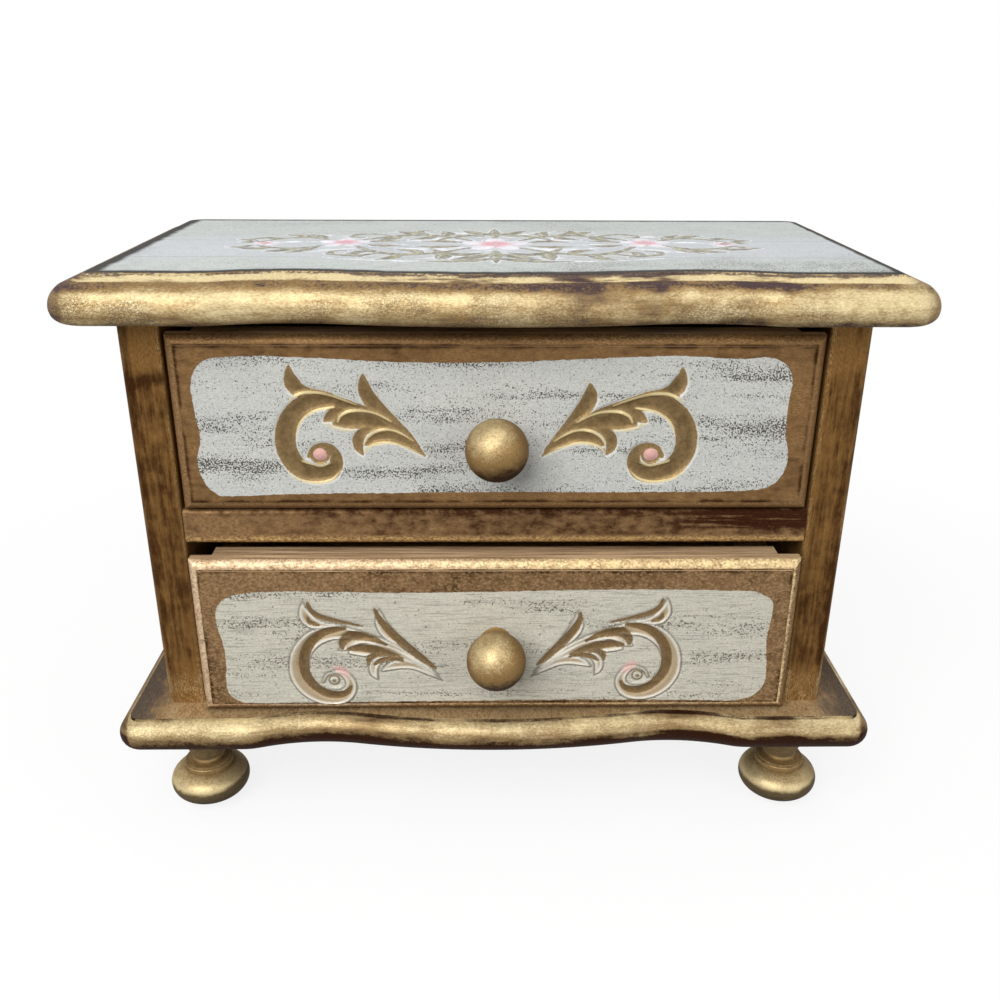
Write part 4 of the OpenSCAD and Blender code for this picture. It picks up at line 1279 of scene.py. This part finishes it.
# Narrow gilded bands of the lower scrolls, between pale rims
LOWER_BANDS = [
    [(5.2, -2.6, .4), (4.0, -4.6, .8), (1.4, -5.6, 1.2), (-2.4, -4.9, 1.3), (-5.9, -2.2, 1.3),
     (-8.4, 1.6, 1.4),
     (-9.3, 6, 1.5), (-8.9, 10.2, 1.5), (-7.2, 14.1, 1.4), (-4.4, 17, 1.2), (-1.1, 18.5, 1.0),
     (2.8, 19.2, .5)],
    [(2.2, 12, .5), (2.4, 14.1, 1.2), (4.5, 16.2, 1.6), (8, 16.3, 1.4), (11.5, 15.3, .9), (15.4, 13.2, .4)],
    [(4.3, 11.6, .5), (7.2, 12.0, 1.1), (10.7, 11.5, 1.3), (14.2, 10.5, 1.2), (17.7, 9.3, .7),
     (20.5, 8.1, .3)],
    [(10.2, 6, .3), (10.6, 8.3, .8), (12.6, 9.2, .6), (15, 9, .2)],
    [(12.1, 5.8, .3), (14.4, 7.4, .7), (17.8, 8, .6), (20.6, 7.2, .3)],
    [(11.6, 25.8, .4), (13.0, 22.6, .8), (15.8, 18.7, 1.1), (18.8, 15.2, 1.2), (21.8, 12.2, 1.2),
     (24.6, 9.6, 1.1),
     (27.2, 7.4, .9), (30.8, 4.4, .3)],
    [(-8.4, 28.1, .4), (-7.2, 25.4, .7), (-4.5, 23.3, .8), (-.3, 22, .6), (4.5, 20.8, .4), (8, 19.9, .2)],
    [(-8.3, 23, .3), (-7.5, 21.3, .6), (-5, 20.5, .3)],
]
RIGHT_LEAF_BAND = [(16.8, 23.2, .4), (17.2, 20.6, .8), (18.8, 17.6, 1.1), (21.0, 14.6, 1.2),
                   (23.4, 11.6, 1.2), (25.8, 9.2, 1.1),
                   (28.0, 7.0, .9), (31.0, 4.2, .3)]
RIGHT_LOWER_BANDS = LOWER_BANDS[:5] + [RIGHT_LEAF_BAND] + LOWER_BANDS[6:]
EYE_R = 2.0
UPPER_PINK = [[(-.2, 0, EYE_R), (.2, 0, EYE_R)]]
LOWER_PINK = [[(.2, 4.6, .6), (1.6, 4.2, 1.3), (3.0, 3.0, 1.4), (3.8, 1.6, .7)]]
UPPER_PANEL = [
    (-86.3, 125.2), (-91.1, 122.7), (-93.5, 117.1), (-93.2, 107), (-92.5, 99.4), (-94.2, 91.7),
    (-92.8, 85), (-89.5, 81),
    (-84.9, 80.1), (-60, 80.9), (-30, 81.2), (1.2, 81.5), (40, 81.4), (78.3, 81.8), (87.7, 83.5),
    (91.6, 88), (92.4, 94.4),
    (90.8, 101.1), (90.6, 110), (91, 118.6), (88.5, 123.4), (82.9, 125.7), (73.8, 125.2), (55.5, 126.1),
    (28, 125.2),
    (.9, 124.1), (-29.3, 124.1), (-52, 125.2), (-74.2, 126)]
LOWER_PANEL = [
    (-82, 47.2), (-89, 45.4), (-92.8, 41), (-93, 34), (-91.6, 27), (-91.6, 19), (-92.2, 13), (-91.6, 8),
    (-88, 5.0),
    (-82, 4.4), (-50, 4.6), (-20, 5.0), (1.6, 5.1), (35, 5.3), (70, 4.9), (83, 4.8), (90, 7.4),
    (92.8, 13), (92.4, 21),
    (91.6, 30), (92.4, 38), (91.8, 43.8), (87, 47), (80, 47.6), (55, 48.2), (28, 48.1), (1.4, 47.6),
    (-30, 47.2),
    (-67.6, 47.8)]


# Drawer fronts and linings

EDGE_W = 3.2
EDGE_STEP = 0.6
EDGE_FALL = 2.8
RABBET_D = 6.0
BOX_T = 7.0
FRONT_FINE, FRONT_COARSE = 0.33, 0.9
CARVED_LEFT = (-72, -15)
CARVED_RIGHT = (7, 66)
PANEL_END_X = 97.4
FAR_OUTSIDE = 9.0
SCROLL_LEAN = 0.07
ROUND_R = (EDGE_W ** 2 + (EDGE_FALL - EDGE_STEP) ** 2) / (2 * (EDGE_FALL - EDGE_STEP))


def edge_drop(away):
    """How far the rounded edge of a front falls back at this distance from its outer edge."""
    slope = ROUND_R - np.sqrt(np.maximum(ROUND_R ** 2 - np.clip(EDGE_W - away, 0, EDGE_W) ** 2, 0))
    return np.where(away < EDGE_W + 0.02, EDGE_STEP + slope, 0.0)


def front_lines(half_w, tall):
    """Columns and rows of a front's face: close over the rounded edge and the carving."""
    rounded = EDGE_W - ROUND_R * np.cos(np.linspace(math.acos(EDGE_W / ROUND_R), math.pi / 2, 9))
    border = np.append(rounded, EDGE_W + 0.05)
    across = spaced((-PANEL_END_X, CARVED_LEFT[0], FRONT_COARSE), (*CARVED_LEFT, FRONT_FINE),
                    (CARVED_LEFT[1], CARVED_RIGHT[0], FRONT_COARSE), (*CARVED_RIGHT, FRONT_FINE),
                    (CARVED_RIGHT[1], PANEL_END_X, FRONT_COARSE))
    upwards = spaced((3.4, tall - 6.5, FRONT_FINE), (tall - 6.5, tall - 3.4, 0.8))
    inner = half_w - BOX_T
    columns = np.concatenate([border - half_w, across, half_w - border, [-inner, inner]])
    rows = np.concatenate([border, upwards, tall - border])
    return np.unique(columns.round(4)), np.unique(rows.round(4))


def carving(gx, gz, eyes, bands, pink, rim):
    """Fields of the carved scrolls over a front's face, and how deep each point is cut."""
    cuts, gilded, ridges, tints = [], [], [], []
    from_eye = np.full(gx.shape, FAR_OUTSIDE)
    for x, z, size_x, size_z in eyes:
        is_right = size_x < 0
        for made_of, strokes in ((RIGHT_SCROLL if is_right else SCROLL, cuts), (bands[is_right], gilded),
                                 (RIDGES, ridges), (pink, tints)):
            strokes += [[(x + size_x * (a + SCROLL_LEAN * b), z + size_z * b, abs(size_x) * w)
                         for a, b, w in stroke] for stroke in made_of]
        from_eye = np.minimum(from_eye, np.hypot(gx - x, gz - z))
    in_scroll = inside_strokes(gx, gz, cuts)[0]
    in_band, scooped = inside_strokes(gx, gz, gilded, 0.8)
    in_ridge = inside_strokes(gx, gz, ridges)[0]
    in_pink = inside_strokes(gx, gz, tints)[0]
    ridge = 0.32 * np.clip(1 + in_ridge / 0.7, 0, 1)
    eye = np.clip(1.15 - from_eye / EYE_R, 0, 1)
    outline = 0.25 * np.clip(1 - np.abs(in_scroll) / 0.6, 0, 1)
    round_eye = 0.6 * np.clip(3.6 - from_eye, 0, 1)
    cut = np.maximum(np.maximum(scooped, round_eye) - ridge, outline) * np.clip(1 - 1.3 * eye, 0, 1)
    bead = rim * np.clip(1 - np.abs(in_scroll - 0.75) / 0.65, 0, 1) * np.clip(-in_band / 0.5, 0, 1)
    fields = {"in_scroll": in_scroll, "in_band": in_band, "in_ridge": in_ridge, "in_pink": in_pink,
              "from_eye": from_eye, "cut": cut}
    return fields, cut - bead - 0.12 * eye ** 0.7


def closed_behind(columns, rows, floor_z, rabbet_y, back_y):
    """Points and faces that close a front behind its face, with a rabbet at each end."""
    n, m = len(columns), len(rows)
    inner = columns[-1] - BOX_T
    left = int(np.argmin(np.abs(columns + inner)))
    right = int(np.argmin(np.abs(columns - inner)))
    points, number, faces = [], {}, []

    def behind(i, j, y):
        """Point behind a point of the face, made once."""
        if (i, j, y) not in number:
            number[i, j, y] = n * m + len(points)
            points.append((columns[i], y, rows[j] + floor_z))
        return number[i, j, y]

    def join(a, b, flip):
        """Quads between two runs of points."""
        quads = [[a[k], b[k], b[k + 1], a[k + 1]] for k in range(len(a) - 1)]
        faces.extend(quad[::-1] if flip else quad for quad in quads)

    def flat_ring(start, end, y):
        """Flat face from one column to another, with a corner at every grid line."""
        around = [(i, 0) for i in range(start, end + 1)]
        around += [(end, j) for j in range(1, m)]
        around += [(i, m - 1) for i in range(end - 1, start - 1, -1)]
        around += [(start, j) for j in range(m - 2, 0, -1)]
        faces.append([behind(i, j, y) for i, j in around])

    for j, flip in ((0, False), (m - 1, True)):
        join([i * m + j for i in range(n)], [behind(i, j, rabbet_y) for i in range(n)], flip)
        middle = range(left, right + 1)
        join([behind(i, j, rabbet_y) for i in middle], [behind(i, j, back_y) for i in middle], flip)
    for i, stop, flip in ((0, left, True), (n - 1, right, False)):
        join([i * m + j for j in range(m)], [behind(i, j, rabbet_y) for j in range(m)], flip)
        join([behind(stop, j, rabbet_y) for j in range(m)], [behind(stop, j, back_y) for j in range(m)], flip)
    flat_ring(0, left, rabbet_y)
    flat_ring(right, n - 1, rabbet_y)
    flat_ring(left, right, back_y)
    return np.array(points), faces


def build_front(drawer, panel, eyes, bands, pink, rim, finish):
    """Drawer front with its rounded edge, painted panel and carved scrolls; places above the base top."""
    low, high = node_box(drawer + "_drawer_front")
    base_top = node_box("base_board")[1][2]
    half_w = (high[0] - low[0]) / 2
    tall = high[2] - low[2]
    columns, rows = front_lines(half_w, tall)
    gx = np.repeat(columns, len(rows))
    up = np.tile(rows, len(columns))
    gz = up + low[2] - base_top
    from_side = half_w - np.abs(gx)
    from_end = np.minimum(up, tall - up)
    fields, cut = carving(gx, gz, eyes, bands, pink, rim)
    fields["from_edge"] = np.minimum(from_side, from_end)
    fields["in_panel"] = inside_outline(gx, gz, panel)
    face_y = low[1] + np.maximum(edge_drop(from_side), edge_drop(from_end)) + cut
    more, closing = closed_behind(columns, rows, low[2], high[1] - RABBET_D, high[1])
    at_back = {"from_edge": 0.0, "cut": 0.0, "from_eye": FAR_OUTSIDE}
    fields = {key: np.append(values, np.full(len(more), at_back.get(key, -FAR_OUTSIDE)))
              for key, values in fields.items()}
    points = np.vstack([np.column_stack([gx, face_y, up + low[2]]), more])
    faces = grid_faces(len(columns), len(rows)).tolist() + closing
    front = new_piece(drawer + "_carved_front", points, faces, finish, fields)
    close_and_turn_out(front.data)
    front.data.set_sharp_from_angle(angle=math.radians(42))
    place(front, drawer + "_drawer", "painted_wood", drawer + "_drawer_front")


FELT_BORDER = 2.0
FELT_FINE, FELT_COARSE = 0.5, 3.0


def build_felt(drawer):
    """Felt laid in a drawer, with a slightly uneven face and soft edges."""
    low, high = node_box(drawer + "_drawer_lining")
    x, y = (spaced((low[k], low[k] + FELT_BORDER, FELT_FINE),
                   (low[k] + FELT_BORDER, high[k] - FELT_BORDER, FELT_COARSE),
                   (high[k] - FELT_BORDER, high[k], FELT_FINE)) for k in (0, 1))
    n, m = len(x), len(y)
    gx, gy = np.repeat(x, m), np.tile(y, n)
    edge = np.minimum(np.minimum(gx - low[0], high[0] - gx), np.minimum(gy - low[1], high[1] - gy))
    soft = (high[2] - low[2]) * (0.55 + 0.45 * np.sqrt(np.clip(edge / 1.5, 0, 1)))
    waves = 1 + np.sin(gx * 0.11 + 1.3) * np.sin(gy * 0.17 + 0.4)
    top = low[2] + soft - 0.09 * waves * np.clip(edge / 4, 0, 1)
    points = np.vstack([np.column_stack([gx, gy, top]), np.column_stack([gx, gy, np.full(n * m, low[2])])])
    upper = grid_faces(n, m)
    lower = upper[:, ::-1] + n * m
    rim = [i * m for i in range(n)] + [(n - 1) * m + j for j in range(1, m)]
    rim += [i * m + m - 1 for i in range(n - 2, -1, -1)] + list(range(m - 2, 0, -1))
    sides = [[a, b, b + n * m, a + n * m] for a, b in zip(rim, rim[1:] + rim[:1])]
    felt = new_piece(drawer + "_felt", points, upper.tolist() + lower.tolist() + sides, FELTED)
    close_and_turn_out(felt.data)
    place(felt, drawer + "_drawer", "felt", drawer + "_drawer_lining")
    drawer + "_drawer_bottom"


def finish_solid(name, material):
    """Gives a CAD node its finish."""
    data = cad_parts[name].data
    data.materials.clear()
    data.materials.append(material)


# Eyes of the scrolls: x, z above the base top, and size across and up; the right ones are turned round
UPPER_EYES = [(-55.6, 94.1, 1.0, 1.0), (48.9, 94.1, -1.04, .98)]
LOWER_EYES = [(-55.3, 13.4, 1.12, 1.06), (48.5, 15.0, -1.1, 1.04)]
LOWER_RIM = 0.35

build_top()
build_base()
build_feet()
for drawer, panel, eyes, bands, pink, rim, finish in (
        ("upper", UPPER_PANEL, UPPER_EYES, (SCROLL, RIGHT_SCROLL), UPPER_PINK, 0.0, UPPER_FRONT),
        ("lower", LOWER_PANEL, LOWER_EYES, (LOWER_BANDS, RIGHT_LOWER_BANDS), LOWER_PINK, LOWER_RIM,
         LOWER_FRONT)):
    build_front(drawer, panel, eyes, bands, pink, rim, finish)
    build_knob(drawer)
    build_felt(drawer)
    for part, material in (("left_side", BARE_ALONG), ("right_side", BARE_ALONG), ("back", BARE_ACROSS),
                           ("bottom", BARE_ACROSS), ("brads", STEELED)):
        finish_solid(drawer + "_drawer_" + part, material)
    finish_solid(drawer + "_knob_screw", STEELED)
for name, material in (("left_side", POSTS), ("right_side", POSTS), ("drawer_divider", DIVIDER),
                       ("back_panel", STAINED), ("carcass_dowels", BARE_ACROSS),
                       ("back_panel_brads", STEELED)):
    finish_solid(name, material)


# Stage, light and camera

WHITE = (1.0, 1.0, 1.0, 1.0)
FLOOR_SHADE = (0.15, 0.15, 0.15, 1.0)
FLOOR_SEEN = (0.9, 0.9, 0.9, 1.0)
SKY = (1.0, 0.99, 0.98, 1.0)
FLOOR_HALF = 12000.0
CAMERA_PLACE = (-0.00337, -0.3494, 0.25039)
CAMERA_TURN = (0.88, 22.823, 0.284)
CAMERA_LENS = 36.13


def seen_directly(tree):
    """1 for rays that show the background: straight from the camera, reflected or through glass."""
    ray = put(tree, "ShaderNodeLightPath").outputs
    reflected = larger(Field(ray["Is Glossy Ray"]), ray["Is Transmission Ray"])
    return larger(Field(ray["Is Camera Ray"]), reflected)


def build_floor():
    """White floor with a soft shadow round the feet."""
    material = bpy.data.materials.new("pale_floor")
    tree = emptied(material)
    where = field(tree, "ShaderNodeTexCoord", output="Object")
    away = field(tree, "ShaderNodeVectorMath", {0: where}, "Value", operation="LENGTH")
    tint = blend(seen_directly(tree), FLOOR_SHADE, FLOOR_SEEN)
    plain = field(tree, "ShaderNodeBsdfDiffuse", {"Color": tint})
    white = field(tree, "ShaderNodeEmission", {"Color": WHITE, "Strength": 1.0})
    share = seen_directly(tree) * spread(mask(away, 0.2, 0.45), 0.85, 1.0)
    mixed = field(tree, "ShaderNodeMixShader", {0: share, 1: plain, 2: white})
    put(tree, "ShaderNodeOutputMaterial", {"Surface": mixed})
    corners = [(x * FLOOR_HALF, y * FLOOR_HALF, 0) for x, y in ((-1, -1), (1, -1), (1, 1), (-1, 1))]
    floor = new_piece("floor", corners, [(0, 1, 2, 3)], material, smooth=False)


def build_world():
    """Soft light from above, behind a white background."""
    world = bpy.data.worlds.new("studio")
    bpy.context.scene.world = world
    tree = emptied(world)
    upwards = axes_of(field(tree, "ShaderNodeTexCoord", output="Generated"))[2]
    from_above = spread(mask(upwards, 0.0, 0.6), 0.06, 0.55)
    soft = field(tree, "ShaderNodeBackground", {"Color": SKY, "Strength": from_above})
    white = field(tree, "ShaderNodeBackground", {"Color": WHITE, "Strength": 1.0})
    mixed = field(tree, "ShaderNodeMixShader", {0: seen_directly(tree), 1: soft, 2: white})
    put(tree, "ShaderNodeOutputWorld", {"Surface": mixed})


def add_lamp(name, place_m, aim_m, size, power):
    """Round lamp of this size, turned towards its aim."""
    lamp = bpy.data.lights.new(name, "AREA")
    lamp.shape = "DISK"
    lamp.size = size
    lamp.energy = power
    holder = add_object(name, lamp)
    holder.location = place_m
    holder.rotation_euler = (Vector(aim_m) - Vector(place_m)).to_track_quat("-Z", "Y").to_euler()


def build_camera():
    """Camera that sees the chest as the photograph does."""
    yaw, pitch, roll = (math.radians(a) for a in CAMERA_TURN)
    ahead = np.array([math.sin(yaw) * math.cos(pitch), math.cos(yaw) * math.cos(pitch), -math.sin(pitch)])
    level = np.array([math.cos(yaw), -math.sin(yaw), 0.0])
    above = np.cross(level, ahead)
    right = math.cos(roll) * level + math.sin(roll) * above
    up = math.cos(roll) * above - math.sin(roll) * level
    data = bpy.data.cameras.new("camera")
    data.sensor_width = 36.0
    data.lens = CAMERA_LENS
    data.clip_start = 0.01
    camera = add_object("camera", data)
    turn = np.column_stack([right, up, -ahead])
    camera.matrix_world = Matrix.Translation(CAMERA_PLACE) @ Matrix(turn.tolist()).to_4x4()
    bpy.context.scene.camera = camera


build_floor()
build_world()
add_lamp("key_lamp", (-0.45, -0.9, 0.9), (0, 0, 0.1), 1.0, 14.8)
add_lamp("top_lamp", (0.1, -0.1, 1.2), (0, 0, 0.15), 0.7, 2)
add_lamp("right_lamp", (0.8, -0.8, 0.45), (0, 0, 0.1), 0.6, 1.8)
build_camera()
bpy.context.scene.view_settings.view_transform = "Standard"
